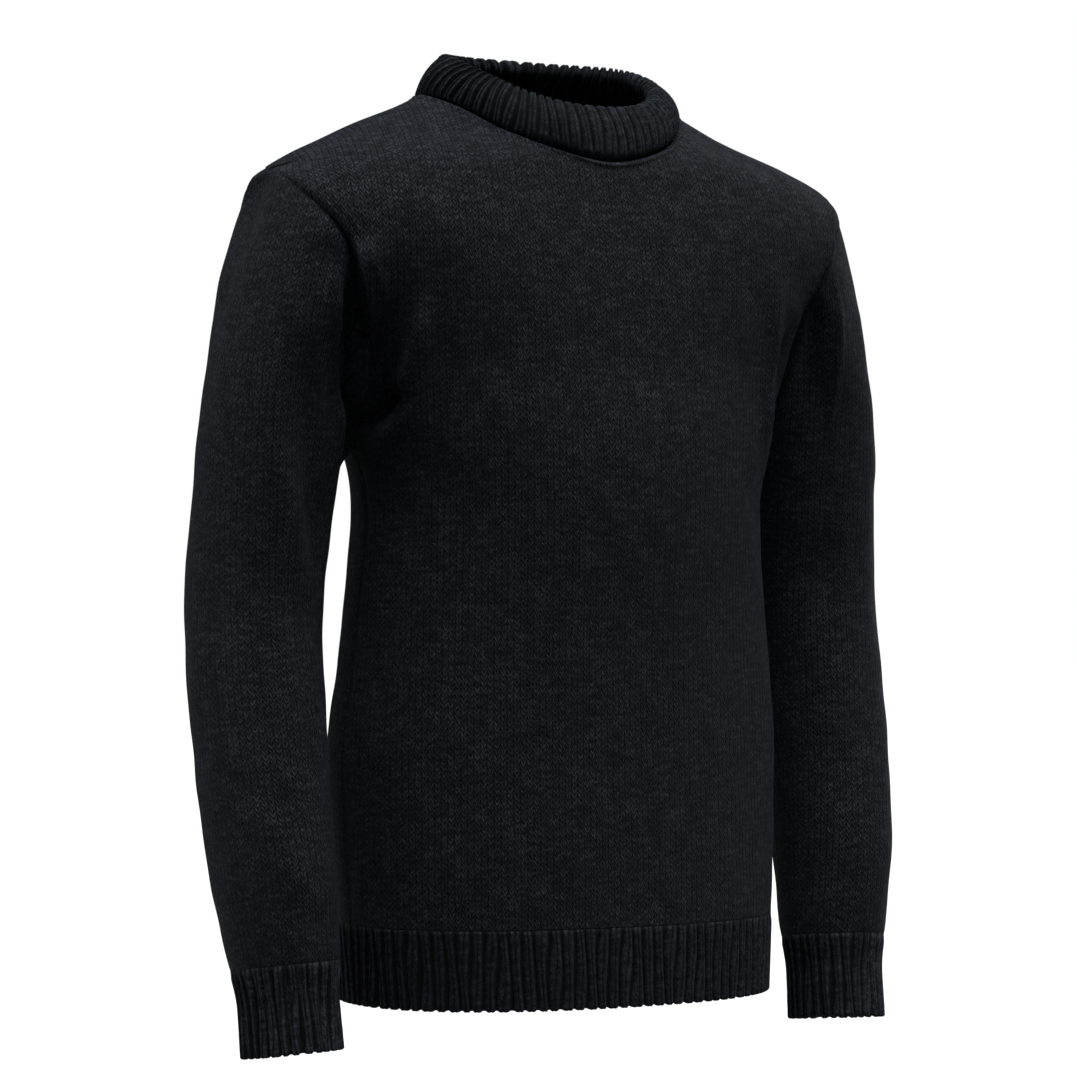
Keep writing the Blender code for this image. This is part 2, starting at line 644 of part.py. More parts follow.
def shapes():
    """Every wall of the sweater by name: outer points, inner points and whether it is a tube."""
    front, back = folded_panel(False), folded_panel(True)
    front_right, back_right = mirrored(front), mirrored(back)
    arm_left = folded_sleeve(armhole_loop(front, back), SLEEVE_LEFT_FOLDS)
    arm_right = folded_sleeve(armhole_loop(front_right, back_right), SLEEVE_RIGHT_FOLDS)
    frame_left = armhole_frame(front, back, arm_left)
    frame_right = armhole_frame(front_right, back_right, arm_right)
    neck_edge = np.concatenate([front[-1, :-1], back[-1, :-1]])
    rim = collar_rim(turns_round_neck(neck_edge))
    into, across = neck_frame(front, back, np.array([neck_edge, rim]))
    mirror = np.array((-1, 1, 1))
    walls = {
        "front": (*panel_wall(front, False, frame_left, frame_right, (into, across)), False),
        "back": (*panel_wall(back, True, frame_left, frame_right, (into, across)), False),
        "hem_front": (*hem_wall(False), False),
        "hem_back": (*hem_wall(True), False),
        "sleeve_left": (*sleeve_wall(arm_left, frame_left), True),
        "cuff_left": (*cuff_wall(), True),
    }
    outer, inner = sleeve_wall(arm_right, frame_right)
    walls["sleeve_right"] = (outer * mirror, inner * mirror, True)
    outer, inner, _ = walls["cuff_left"]
    walls["cuff_right"] = (outer * mirror, inner * mirror, True)
    walls = {name: (lean(outer), lean(inner), closed) for name, (outer, inner, closed) in walls.items()}
    return walls, lean(collar_wall(neck_edge, into, across))


def main():
    clear_scene()
    knit = knit_material("charcoal_knit", KNIT_COLOUR, KNIT_ROUGHNESS)
    rib = knit_material("charcoal_rib", RIB_COLOUR, KNIT_ROUGHNESS)
    walls, band = shapes()
    for name, (outer, inner, closed) in walls.items():
        material = rib if name.startswith(("hem", "cuff")) else knit
        make_wall(name, outer, inner, closed, material)
    rows, columns = band.shape[:2]
    make_piece("collar", band.reshape(-1, 3), ring_faces(rows, columns), rib)


if __name__ == "__main__":
    main()
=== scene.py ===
"""The looks of a crewneck sweater in heavy melange wool, filled out with nobody in it.

Blender 4.5 runs this file after the solids are packed. Metres, +Z up. The front faces -Y, and +X
is the wearer's left. The origin is in the middle of the neck hole. Each knitted piece is a thin
wall on its own solid's form, from the same tables, with finer creases, sewing and ribs. Only the
solids' small lean of the neck, under 3 mm, isn't followed, and the shoulders rise and fall instead.
"""
from functools import lru_cache
from math import cos, pi, radians, sin

import bpy
import numpy as np
from bpy.props import FloatProperty, FloatVectorProperty, PointerProperty
from bpy.types import Operator, Panel, PropertyGroup
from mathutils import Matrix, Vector


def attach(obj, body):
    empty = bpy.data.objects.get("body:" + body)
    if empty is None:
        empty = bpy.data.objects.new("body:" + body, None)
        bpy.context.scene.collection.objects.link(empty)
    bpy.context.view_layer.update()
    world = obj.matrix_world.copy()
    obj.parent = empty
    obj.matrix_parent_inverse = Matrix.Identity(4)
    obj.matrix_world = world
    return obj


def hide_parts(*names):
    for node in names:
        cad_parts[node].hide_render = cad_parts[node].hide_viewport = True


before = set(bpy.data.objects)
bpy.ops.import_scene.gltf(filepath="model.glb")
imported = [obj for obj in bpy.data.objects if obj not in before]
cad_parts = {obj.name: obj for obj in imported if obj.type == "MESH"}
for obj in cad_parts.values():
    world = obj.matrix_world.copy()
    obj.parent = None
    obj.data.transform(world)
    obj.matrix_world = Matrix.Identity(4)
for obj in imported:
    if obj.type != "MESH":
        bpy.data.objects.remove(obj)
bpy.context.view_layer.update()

bl_info = {
    "name": "Crewneck sweater",
    "version": (1, 0, 0),
    "blender": (4, 5, 0),
    "location": "View3D > Sidebar > Sweater",
    "description": "Knitted pieces, wool and studio of a crewneck sweater",
    "category": "Object",
}

# ---- driving sizes, as in the solids -------------------------------------------------------------

HEM_Z = -0.655           # lower edge of the hem rib
RIB_TOP_Z = -0.597       # where the hem rib meets the panels
UNDERARM_Z = -0.252      # top of the side seams
SHOULDER_Z = -0.053      # outer end of the shoulder seams
NECK_HALF_WIDTH = 0.102  # the neck seam, seen from above: to the side, front and back
NECK_FRONT_Y = -0.085
NECK_BACK_Y = 0.079
RIM_HALF_WIDTH = 0.0805  # outside of the collar's rim, the same
RIM_FRONT_Y = -0.068
RIM_BACK_Y = 0.064
RIM_SIDE_Z = 0.031       # the rim's height at the sides, front and back
RIM_FRONT_Z = -0.004
RIM_BACK_Z = 0.0435
RIM_SQUARENESS = 2.3     # 2 is a true oval

CLOTH = 0.003            # heavy knit, one layer
COLLAR_CLOTH = 0.007     # the collar band is folded double

PANEL_COLUMNS = 22       # across one panel
SIDE_ROWS = 11           # along a side seam
ARMHOLE_ROWS = 11        # along half an armhole
SHOULDER_ROWS = 6        # along a shoulder seam
CAP_ROWS = 8             # from the armhole to the upper arm
ARM_ROWS = 13            # from the upper arm to the cuff

RELAX_ROUNDS = 60        # passes that even out the spacing of a panel's points
SETTLE_ROUNDS = 4        # steps that bring a point onto the body's form
HALVINGS = 30            # steps that find a height by halving
CURVE_STEPS = 400        # steps along a curve before its points are spaced evenly
NUDGE = 0.00001          # small move, to measure a slope
RUN_NUDGE = 0.01         # small move down a sleeve, as a share of its run

HEM_RIBS = 98            # all round
CUFF_RIBS = 28
COLLAR_RIBS = 66
COLLAR_BULGE = 0.0035    # how far the band rounds out between seam and rim

# ---- tables --------------------------------------------------------------------------------------

# Level sections of the body: height, half_width, half_depth, centre_y, squareness.
BODY_SECTIONS = (
    (-0.655, 0.1645, 0.1145, -0.0090, 2.30),
    (-0.600, 0.1670, 0.1170, -0.0075, 2.30),
    (-0.540, 0.1700, 0.1180, -0.0060, 2.30),
    (-0.460, 0.1730, 0.1170, -0.0045, 2.25),
    (-0.380, 0.1665, 0.1160, -0.0060, 2.15),
    (-0.290, 0.1605, 0.1180, -0.0085, 2.05),
    (-0.240, 0.1730, 0.1170, -0.0070, 2.05),
    (-0.195, 0.1935, 0.1135, -0.0030, 2.05),
    (-0.140, 0.2205, 0.1100, 0.0000, 2.30),
    (-0.095, 0.2400, 0.1030, 0.0020, 2.70),
    (-0.064, 0.2440, 0.0960, 0.0040, 2.40),
    (-0.042, 0.2150, 0.0900, 0.0050, 2.05),
    (-0.021, 0.1660, 0.0770, 0.0100, 1.80),
    (0.000, 0.1190, 0.0690, 0.0130, 1.70),
    (0.012, 0.0980, 0.0640, 0.0140, 1.70),
    (0.030, 0.0840, 0.0560, 0.0140, 1.80),
)

# Half an armhole on the wearer's left, from the shoulder seam down: share, x, y, height.
ARMHOLE_FRONT = (
    (0.0, 0.2310, 0.0040, SHOULDER_Z),
    (0.1, 0.2340, -0.0300, -0.0640),
    (0.2, 0.2260, -0.0620, -0.0810),
    (0.3, 0.2120, -0.0720, -0.1020),
    (0.5, 0.1940, -0.0640, -0.1400),
    (0.7, 0.1870, -0.0480, -0.1850),
    (0.9, 0.1780, -0.0250, -0.2260),
    (1.0, 0.1680, -0.0070, UNDERARM_Z),
)
ARMHOLE_BACK = (
    (0.0, 0.2310, 0.0040, SHOULDER_Z),
    (0.1, 0.2340, 0.0340, -0.0640),
    (0.2, 0.2280, 0.0620, -0.0830),
    (0.4, 0.2060, 0.0740, -0.1250),
    (0.6, 0.1920, 0.0660, -0.1700),
    (0.8, 0.1830, 0.0440, -0.2150),
    (1.0, 0.1680, -0.0070, UNDERARM_Z),
)

# Sections of a sleeve on the wearer's left, from the upper arm down:
# run, x, y, height, half_width, half_depth, turn in degrees, squareness.
SLEEVE_SECTIONS = (
    (0.00, 0.2290, 0.0130, -0.2700, 0.0515, 0.0610, 14, 2.1),
    (0.22, 0.2375, 0.0155, -0.3620, 0.0495, 0.0560, 10, 2.1),
    (0.43, 0.2410, 0.0030, -0.4500, 0.0475, 0.0550, 6, 2.1),
    (0.66, 0.2395, -0.0165, -0.5500, 0.0435, 0.0500, 2, 2.1),
    (0.78, 0.2355, -0.0240, -0.6000, 0.0410, 0.0440, 0, 2.1),
    (0.83, 0.2340, -0.0265, -0.6210, 0.0355, 0.0375, 0, 2.1),
    (1.00, 0.2320, -0.0345, -0.6840, 0.0355, 0.0370, 0, 2.1),
)
CUFF_RUN = 0.83          # where the cuff's rib starts

# Direction in which the left sleeve leaves its armhole: outwards, forwards at the front of the
# armhole and as much backwards at its back, and upwards, which is negative as a sleeve hangs down.
LEAVE_TOP = (0.32, 0.22, -0.92)
LEAVE_UNDERARM = (0.55, 0.0, -0.83)
LEAVE_SHARE = 0.9        # how strongly the sleeve keeps to that direction

FOLD_FADE = 0.02         # folds die away over this length at a sleeve's ends
RIB_FADE = 0.04          # and over this one above the hem rib

MIRROR = np.array((-1, 1, 1))    # from the wearer's left to the right
SHOULDER_ROW = SIDE_ROWS + ARMHOLE_ROWS    # a panel's row at the outer end of the shoulder seam


# ---- curves through the tables -------------------------------------------------------------------

def along(table, where):
    """Reads a smooth curve through a table's rows at the given values of its first column."""
    rows = np.array(table, float)
    key = rows[:, 0]
    where = np.atleast_1d(where).astype(float)
    low = np.clip(np.searchsorted(key, where) - 1, 0, len(key) - 2)

    def slope(index):
        """How fast the other columns change at a row, from the rows on both sides of it."""
        before = np.clip(index - 1, 0, len(key) - 1)
        after = np.clip(index + 1, 0, len(key) - 1)
        return (rows[after, 1:] - rows[before, 1:]) / (key[after] - key[before])[:, None]

    step = (key[low + 1] - key[low])[:, None]
    t = (where[:, None] - key[low][:, None]) / step
    return cubic(rows[low, 1:], rows[low + 1, 1:], slope(low) * step, slope(low + 1) * step, t)


def cubic(start, end, leave, arrive, t):
    """Cubic from start to end, with the given directions at its ends."""
    return ((2 * t**3 - 3 * t**2 + 1) * start + (t**3 - 2 * t**2 + t) * leave
            + (-2 * t**3 + 3 * t**2) * end + (t**3 - t**2) * arrive)


def mirrored(grid):
    """The same grid on the wearer's other side, with its faces still outwards."""
    return grid[:, ::-1] * MIRROR


def smoothstep(value):
    """Soft step from 0 to 1."""
    value = np.clip(value, 0, 1)
    return value * value * (3 - 2 * value)


def unit(vectors):
    """The same directions, each of length 1."""
    return vectors / np.linalg.norm(vectors, axis=-1, keepdims=True)


def hump(distance, reach):
    """Soft hump, which is 1 at no distance and dies away over about its reach."""
    return np.exp(-(distance / reach)**2)


def squared(share, squareness):
    """A turn's sine or cosine on a rounded square; squareness 2 is a true oval."""
    return np.sign(share) * np.abs(share)**(2 / squareness)


def walked(points, axis=0):
    """Distance walked along a line, or along the lines of a grid, from the first point."""
    steps = np.linalg.norm(np.diff(points, axis=axis), axis=-1)
    start = np.zeros_like(np.take(steps, [0], axis=axis))
    return np.concatenate([start, np.cumsum(steps, axis=axis)], axis=axis)


def from_ends(grid, axis=0):
    """Distances of a grid's points from the first and from the last end of its lines."""
    first = walked(grid, axis)
    return first, np.take(first, [-1], axis=axis) - first


def read_at(where, walk, points):
    """What a line's points carry, read at some distances along it."""
    return np.stack([np.interp(where, walk, points[:, axis]) for axis in range(3)], 1)


def even_points(curve, count):
    """Points at equal spacing along a line, both ends included."""
    walk = walked(curve)
    return read_at(np.linspace(0, walk[-1], count), walk, curve)


def closed_up(points, axis=0):
    """A ring's points with the first one once more at the end."""
    return np.concatenate([points, np.take(points, [0], axis=axis)], axis=axis)


# ---- the body's form -----------------------------------------------------------------------------

def body_reach(points):
    """How far out points lie, level, as a share of the way to the body's sections."""
    half_width, half_depth, centre_y, square = along(BODY_SECTIONS, points[:, 2]).T
    wide = np.abs(points[:, 0] / half_width)**square
    deep = np.abs((points[:, 1] - centre_y) / half_depth)**square
    return (wide + deep)**(1 / square)


def settle(points):
    """Moves points by the shortest way onto the body's form."""
    flat = np.array(points, float).reshape(-1, 3)
    for _ in range(SETTLE_ROUNDS):
        reach = body_reach(flat)
        slope = np.stack([body_reach(flat + step) - reach for step in np.eye(3) * NUDGE], 1) / NUDGE
        flat = flat - slope * ((reach - 1) / np.sum(slope**2, axis=1))[:, None]
    return flat.reshape(np.shape(points))


def level_line(height, turns):
    """Points of one level section; turn 0 is the wearer's left and -90 degrees centre front."""
    half_width, half_depth, centre_y, square = along(BODY_SECTIONS, height)[0]
    x = half_width * squared(np.cos(turns), square)
    y = half_depth * squared(np.sin(turns), square) + centre_y
    return np.stack([x, y, np.full(len(x), height)], 1)


def oval(turns, half_width, front_y, side_y, back_y):
    """Plan of a line round the neck."""
    reach = np.where(np.sin(turns) < 0, side_y - front_y, back_y - side_y)
    return half_width * np.cos(turns), side_y + reach * np.sin(turns)


def neck_side():
    """Height and y of the neck seam where it crosses the shoulder seams."""
    heights = np.linspace(SHOULDER_Z, BODY_SECTIONS[-1][0], CURVE_STEPS)
    sections = along(BODY_SECTIONS, heights)
    place = np.argmax(sections[:, 0] < NECK_HALF_WIDTH)
    return heights[place], sections[place, 2]


def neck_line(turns):
    """Outer points of the neck seam: an oval from above, laid on the shoulders."""
    side_z, side_y = neck_side()
    x, y = oval(turns, NECK_HALF_WIDTH, NECK_FRONT_Y, side_y, NECK_BACK_Y)
    low, high = np.full(len(x), SHOULDER_Z), np.full(len(x), side_z)
    for _ in range(HALVINGS):
        middle = (low + high) / 2
        outside = body_reach(np.stack([x, y, middle], 1)) > 1
        low, high = np.where(outside, low, middle), np.where(outside, middle, high)
    return np.stack([x, y, low], 1)


def seam_point(height):
    """Point of the side or shoulder seam on the wearer's left."""
    return level_line(height, np.zeros(1))[0]


def armhole(back, count):
    """Half an armhole on the wearer's left, from the shoulder seam to the side seam."""
    table = ARMHOLE_BACK if back else ARMHOLE_FRONT
    curve = settle(along(table, np.linspace(0, 1, CURVE_STEPS + 1)))
    curve[0], curve[-1] = seam_point(SHOULDER_Z), seam_point(UNDERARM_Z)
    return even_points(curve, count)


def side_edge(back):
    """Side seam, armhole and shoulder seam of a panel on the wearer's left, from the rib up."""
    seam = np.array([seam_point(z) for z in np.linspace(RIB_TOP_Z, UNDERARM_Z, SIDE_ROWS + 1)])
    hole = armhole(back, ARMHOLE_ROWS + 1)[::-1]
    shoulder = np.array([seam_point(z) for z in np.linspace(SHOULDER_Z, neck_side()[0], CURVE_STEPS)])
    return np.concatenate([seam[:-1], hole[:-1], even_points(shoulder, SHOULDER_ROWS + 1)])


def panel(back):
    """Outer points of the front or back, rows from the rib up to the neck."""
    start = 0 if back else -pi
    turns = np.linspace(start, start + pi, PANEL_COLUMNS + 1)
    bottom = level_line(RIB_TOP_Z, turns)
    top = neck_line(turns)
    left = side_edge(back)
    right = left * MIRROR
    first, last = (left, right) if back else (right, left)
    walk = walked(left)
    climb = left[:, 2] - RIB_TOP_Z
    rise = ((walk / walk[-1] + climb / climb[-1]) / 2)[:, None, None]
    across = ((1 - np.cos(turns - start)) / 2)[None, :, None]
    grid = (1 - rise) * bottom[None] + rise * top[None]
    grid = grid + (1 - across) * (first[:, None] - grid[:, :1]) + across * (last[:, None] - grid[:, -1:])
    for _ in range(RELAX_ROUNDS):
        beside = grid[:-2, 1:-1] + grid[2:, 1:-1] + grid[1:-1, :-2] + grid[1:-1, 2:]
        grid[1:-1, 1:-1] = settle(beside / 4)
    return grid


# ---- the sleeves' form ---------------------------------------------------------------------------

def sleeve_way(run):
    """Direction down the left sleeve; the cuff keeps to one direction, so that its edge is flat."""
    run = min(run, CUFF_RUN)
    ahead = along(SLEEVE_SECTIONS, run + RUN_NUDGE)[0][:3]
    behind = along(SLEEVE_SECTIONS, max(run - RUN_NUDGE, 0))[0][:3]
    return unit(ahead - behind)


def sleeve_ring(run, turns):
    """One section of the left sleeve; turn 0 is its outer side and 90 degrees its front."""
    x, y, height, half_width, half_depth, turn, square = along(SLEEVE_SECTIONS, run)[0]
    down = sleeve_way(run)
    wide = unit(np.array([1.0, 0, 0]) - down * down[0])
    deep = np.cross(down, wide)
    px = half_width * squared(np.cos(turns), square)
    py = -half_depth * squared(np.sin(turns), square)
    swing = radians(turn)
    qx = px * cos(swing) - py * sin(swing)
    qy = px * sin(swing) + py * cos(swing)
    return np.array([x, y, height]) + qx[:, None] * wide - qy[:, None] * deep


def sleeve(start):
    """Outer points of the left sleeve from its armhole, rows down to the cuff."""
    count = 2 * ARMHOLE_ROWS
    turns = np.linspace(0, 2 * pi, count, endpoint=False)
    end = sleeve_ring(0, turns)
    upper = ((1 + np.cos(turns)) / 2)[:, None]
    length = np.linalg.norm(end - start, axis=1)[:, None]
    outward, forward, upward = LEAVE_TOP
    leave_top = np.stack([np.full(count, outward), -forward * np.sin(turns), np.full(count, upward)], 1)
    leave = leave_top * upper + np.array(LEAVE_UNDERARM) * (1 - upper)
    leave = unit(leave) * length * LEAVE_SHARE
    below = sleeve_ring(2 * RUN_NUDGE, turns)
    arrive = unit(below - end) * length
    cap = [cubic(start, end, leave, arrive, t) for t in np.linspace(0, 1, CAP_ROWS + 1)]
    arm = [sleeve_ring(run, turns) for run in np.linspace(0, CUFF_RUN, ARM_ROWS + 1)[1:]]
    return np.array(cap + arm)


# ---- the collar's form ---------------------------------------------------------------------------

def turns_round_neck(points):
    """Turn of each point of the neck seam, from the wearer's left by the back."""
    return np.arctan2(points[:, 1] - neck_side()[1], points[:, 0])


def collar_rim(turns):
    """Outer points of the collar's rim, which dips at the front and rises at the back."""
    across, deep = (squared(part, RIM_SQUARENESS) for part in (np.cos(turns), np.sin(turns)))
    x, y = RIM_HALF_WIDTH * across, np.where(deep < 0, -RIM_FRONT_Y, RIM_BACK_Y) * deep
    tilt = (RIM_BACK_Z - RIM_FRONT_Z) / 2
    dip = RIM_SIDE_Z - (RIM_BACK_Z + RIM_FRONT_Z) / 2
    return np.stack([x, y, RIM_SIDE_Z + tilt * deep - dip * deep**2], 1)


# ---- folds ---------------------------------------------------------------------------------------

# Folds of each piece: from (x, y, height) to (x, y, height), width, rise; troughs fall.
FRONT_FOLDS = (
    (-0.180, -0.060, -0.160, -0.176, -0.048, -0.220, 0.019, -0.0090),
    (-0.160, -0.085, -0.170, -0.163, -0.080, -0.240, 0.016, 0.0020),
    (0.184, -0.060, -0.150, 0.176, -0.045, -0.225, 0.017, -0.0060),
    (0.163, -0.085, -0.150, 0.158, -0.075, -0.260, 0.018, 0.0030),
    (-0.110, -0.100, -0.300, -0.130, -0.085, -0.500, 0.030, -0.0025),
    (0.100, -0.100, -0.360, 0.115, -0.090, -0.540, 0.032, -0.0020),
)
BACK_FOLDS = (
    (-0.185, 0.065, -0.160, -0.175, 0.045, -0.225, 0.018, -0.0070),
    (-0.160, 0.085, -0.160, -0.150, 0.085, -0.270, 0.018, 0.0025),
    (0.185, 0.065, -0.160, 0.175, 0.045, -0.225, 0.018, -0.0080),
    (0.160, 0.085, -0.150, 0.145, 0.090, -0.260, 0.018, 0.0030),
    (-0.020, 0.112, -0.430, 0.090, 0.100, -0.520, 0.026, -0.0030),
    (0.060, 0.105, -0.300, 0.110, 0.090, -0.420, 0.030, -0.0025),
)
SLEEVE_LEFT_FOLDS = (
    (0.206, -0.060, -0.130, 0.194, -0.045, -0.205, 0.016, -0.0060),
    (0.250, -0.045, -0.150, 0.262, -0.020, -0.260, 0.014, 0.0025),
    (0.225, -0.045, -0.220, 0.215, -0.035, -0.340, 0.022, -0.0050),
    (0.262, -0.045, -0.420, 0.225, -0.055, -0.500, 0.020, -0.0035),
    (0.235, 0.055, -0.400, 0.262, 0.030, -0.480, 0.020, -0.0035),
)
SLEEVE_RIGHT_FOLDS = (
    (0.210, -0.062, -0.120, 0.194, -0.045, -0.210, 0.017, -0.0080),
    (0.220, -0.050, -0.190, 0.208, -0.038, -0.300, 0.024, -0.0045),
    (0.205, -0.035, -0.300, 0.210, -0.030, -0.380, 0.024, -0.0030),
    (0.235, 0.055, -0.380, 0.262, 0.030, -0.470, 0.020, -0.0035),
    (0.262, -0.050, -0.520, 0.230, -0.065, -0.570, 0.014, 0.0020),
)


def fold_rise(points, folds):
    """Sum of the folds at points: each is a soft ridge or trough along a straight run."""
    rise = np.zeros(points.shape[:-1])
    for fold in folds:
        start, end = np.array(fold[:3]), np.array(fold[3:6])
        width, top = fold[6:]
        share = np.clip((points - start) @ (end - start) / np.sum((end - start)**2), 0, 1)
        gap = np.linalg.norm(points - start - share[..., None] * (end - start), axis=-1)
        rise += top * hump(gap, width)
    return rise


def normals(grid, closed):
    """Unit normals of a grid's outer side."""
    if closed:
        along_row = np.roll(grid, -1, axis=1) - np.roll(grid, 1, axis=1)
    else:
        along_row = np.gradient(grid, axis=1)
    return unit(np.cross(along_row, np.gradient(grid, axis=0)))


# Soft rises of the shoulders, higher on the wearer's right, where the solids' neck leans as a whole:
# centre (x, y, height), reach, rise.
SHOULDER_RISES = (
    (-0.155, -0.005, -0.018, 0.045, 0.0030),
    (0.105, -0.030, -0.012, 0.022, -0.0030),
)


def shoulder_rise(points):
    """How far the shoulders stand above the solids' form."""
    return sum(rise * hump(np.linalg.norm(points - np.array(centre), axis=-1), reach)
               for *centre, reach, rise in SHOULDER_RISES)


# ---- finer grids ---------------------------------------------------------------------------------

STEPS = 8                        # fine rows and columns to each one of the solids' grids
EDGE_STEPS = (0.04, 0.08)        # extra lines beside an edge, where the sewing rolls in
ARM_STEPS = 7                    # fine rows to each one down a sleeve
NEAR = 1e-9                      # keeps a whole place from being read as just below it
WELD = 0.00001                   # points nearer than this are one
FLATTEN_ROUNDS = 1500            # passes that lay a coarse grid out flat
FLATTEN_STEP = 1.6               # how far each pass goes, against the move that it works out


def refine(points, places, closed=False, ghosts=None):
    """Reads rows of points between their numbers, by a smooth curve through all of them."""
    count = len(points)
    low = np.floor(places + NEAR).astype(int)
    low = low if closed else np.clip(low, 0, count - 2)
    t = (places - low).reshape(-1, *[1] * (points.ndim - 1))
    if closed:
        near = [points[(low + step) % count] for step in (-1, 0, 1, 2)]
    else:
        before, after = ghosts or (2 * points[0] - points[1], 2 * points[-1] - points[-2])
        full = np.concatenate([before[None], points, after[None]])
        near = [full[low + step] for step in (0, 1, 2, 3)]
    before, here, after = (np.linalg.norm(near[step + 1] - near[step], axis=-1, keepdims=True) + WELD
                           for step in (0, 1, 2))
    leave = (near[2] - near[0]) * here / (before + here)
    arrive = (near[3] - near[1]) * here / (here + after)
    return cubic(near[1], near[2], leave, arrive, t)


def refine_both(grid, rows, columns, closed=False):
    """Reads a grid finely down its rows and then across its columns."""
    return refine(refine(grid, rows).swapaxes(0, 1), columns, closed).swapaxes(0, 1)


def fine_places(count, steps):
    """Places of fine lines over a number of coarse steps, closer together beside both edges."""
    even = np.linspace(0, count, count * steps + 1)
    return np.array(sorted([*even, *EDGE_STEPS, *(count - step for step in EDGE_STEPS)]))


ROW_PLACES = fine_places(SHOULDER_ROW + SHOULDER_ROWS, STEPS)
COLUMN_PLACES = fine_places(PANEL_COLUMNS, STEPS)
ARMHOLE_FIRST, ARMHOLE_LAST = (int(np.searchsorted(ROW_PLACES, row)) for row in (SIDE_ROWS, SHOULDER_ROW))
ARMHOLE_FINE = slice(ARMHOLE_FIRST, ARMHOLE_LAST + 1)    # a panel's fine rows along an armhole
HALF_RING = ARMHOLE_ROWS * STEPS                         # fine columns of half a sleeve


def with_corners(edge):
    """A panel's edge column, read finely with a corner at the underarm and at the shoulder."""
    corners = (0, SIDE_ROWS, SHOULDER_ROW, len(edge) - 1)
    fine = []
    for first, last in zip(corners, corners[1:]):
        inside = (ROW_PLACES >= first) & (ROW_PLACES < last + (last == corners[-1]))
        fine.append(refine(edge[first:last + 1], ROW_PLACES[inside] - first))
    return np.concatenate(fine)


def fine_panel(grid, other):
    """A panel's grid read finely; other is the panel that it is sewn to at the sides."""
    rows = refine(grid, ROW_PLACES)
    rows[:, 0] = with_corners(grid[:, 0])
    rows[:, -1] = with_corners(grid[:, -1])
    beyond = refine(other, ROW_PLACES)
    free = ((ROW_PLACES > SIDE_ROWS) & (ROW_PLACES < SHOULDER_ROW))[:, None]
    before = np.where(free, 2 * rows[:, 0] - rows[:, 1], beyond[:, -2])
    after = np.where(free, 2 * rows[:, -1] - rows[:, -2], beyond[:, 1])
    columns = refine(rows.swapaxes(0, 1), COLUMN_PLACES, ghosts=(before, after))
    return columns.swapaxes(0, 1)


def flatten(grid, start):
    """Lays a coarse grid out flat, with its lines as long as on the body: across, up."""
    flat = start.copy()
    ties = [(slice(None, -1), slice(None), slice(1, None), slice(None)),
            (slice(None), slice(None, -1), slice(None), slice(1, None)),
            (slice(None, -1), slice(None, -1), slice(1, None), slice(1, None)),
            (slice(1, None), slice(None, -1), slice(None, -1), slice(1, None))]
    lengths = [np.linalg.norm(grid[c, d] - grid[a, b], axis=-1) for a, b, c, d in ties]
    for _ in range(FLATTEN_ROUNDS):
        push = np.zeros_like(flat)
        count = np.zeros(flat.shape[:2])
        for (a, b, c, d), length in zip(ties, lengths):
            gap = flat[c, d] - flat[a, b]
            now = np.linalg.norm(gap, axis=-1)
            move = gap * ((now - length) / now / 2)[..., None]
            push[a, b] += move
            push[c, d] -= move
            count[a, b] += 1
            count[c, d] += 1
        flat += push / count[..., None] * FLATTEN_STEP
    return flat


def laid_out(grid, centre, upward):
    """The cloth's own places: across from the centre column and up from the first row."""
    across = walked(grid, 1)
    up = walked(grid)[:, centre:centre + 1] * upward
    start = np.stack([across - across[:, centre:centre + 1], np.broadcast_to(up, across.shape)], -1)
    flat = flatten(grid, start)
    return flat - flat[0, centre]


@lru_cache(maxsize=None)
def body_grids():
    """Fine grids of the front and back, with the folds that the solids have, and their cloth places."""
    coarse = {False: panel(False), True: panel(True)}
    grids = {}
    for back in (False, True):
        grid = fine_panel(coarse[back], coarse[not back])
        plan = laid_out(coarse[back], PANEL_COLUMNS // 2, 1)
        places = refine_both(plan, ROW_PLACES, COLUMN_PLACES)
        low = np.clip((grid[..., 2] - RIB_TOP_Z) / RIB_FADE, 0, 1)
        row, column = ROW_PLACES[:, None], COLUMN_PLACES[None]
        free = np.clip(np.minimum(row - SIDE_ROWS, SHOULDER_ROW - row), 0, 1)
        inside = np.clip(np.minimum(column, PANEL_COLUMNS - column), 0, 1)
        rise = fold_rise(grid, BACK_FOLDS if back else FRONT_FOLDS) * low * np.maximum(free, inside)
        grid = grid + rise[..., None] * normals(grid, False)
        grid[..., 2] += shoulder_rise(grid)
        grids[back] = grid, places
    return grids


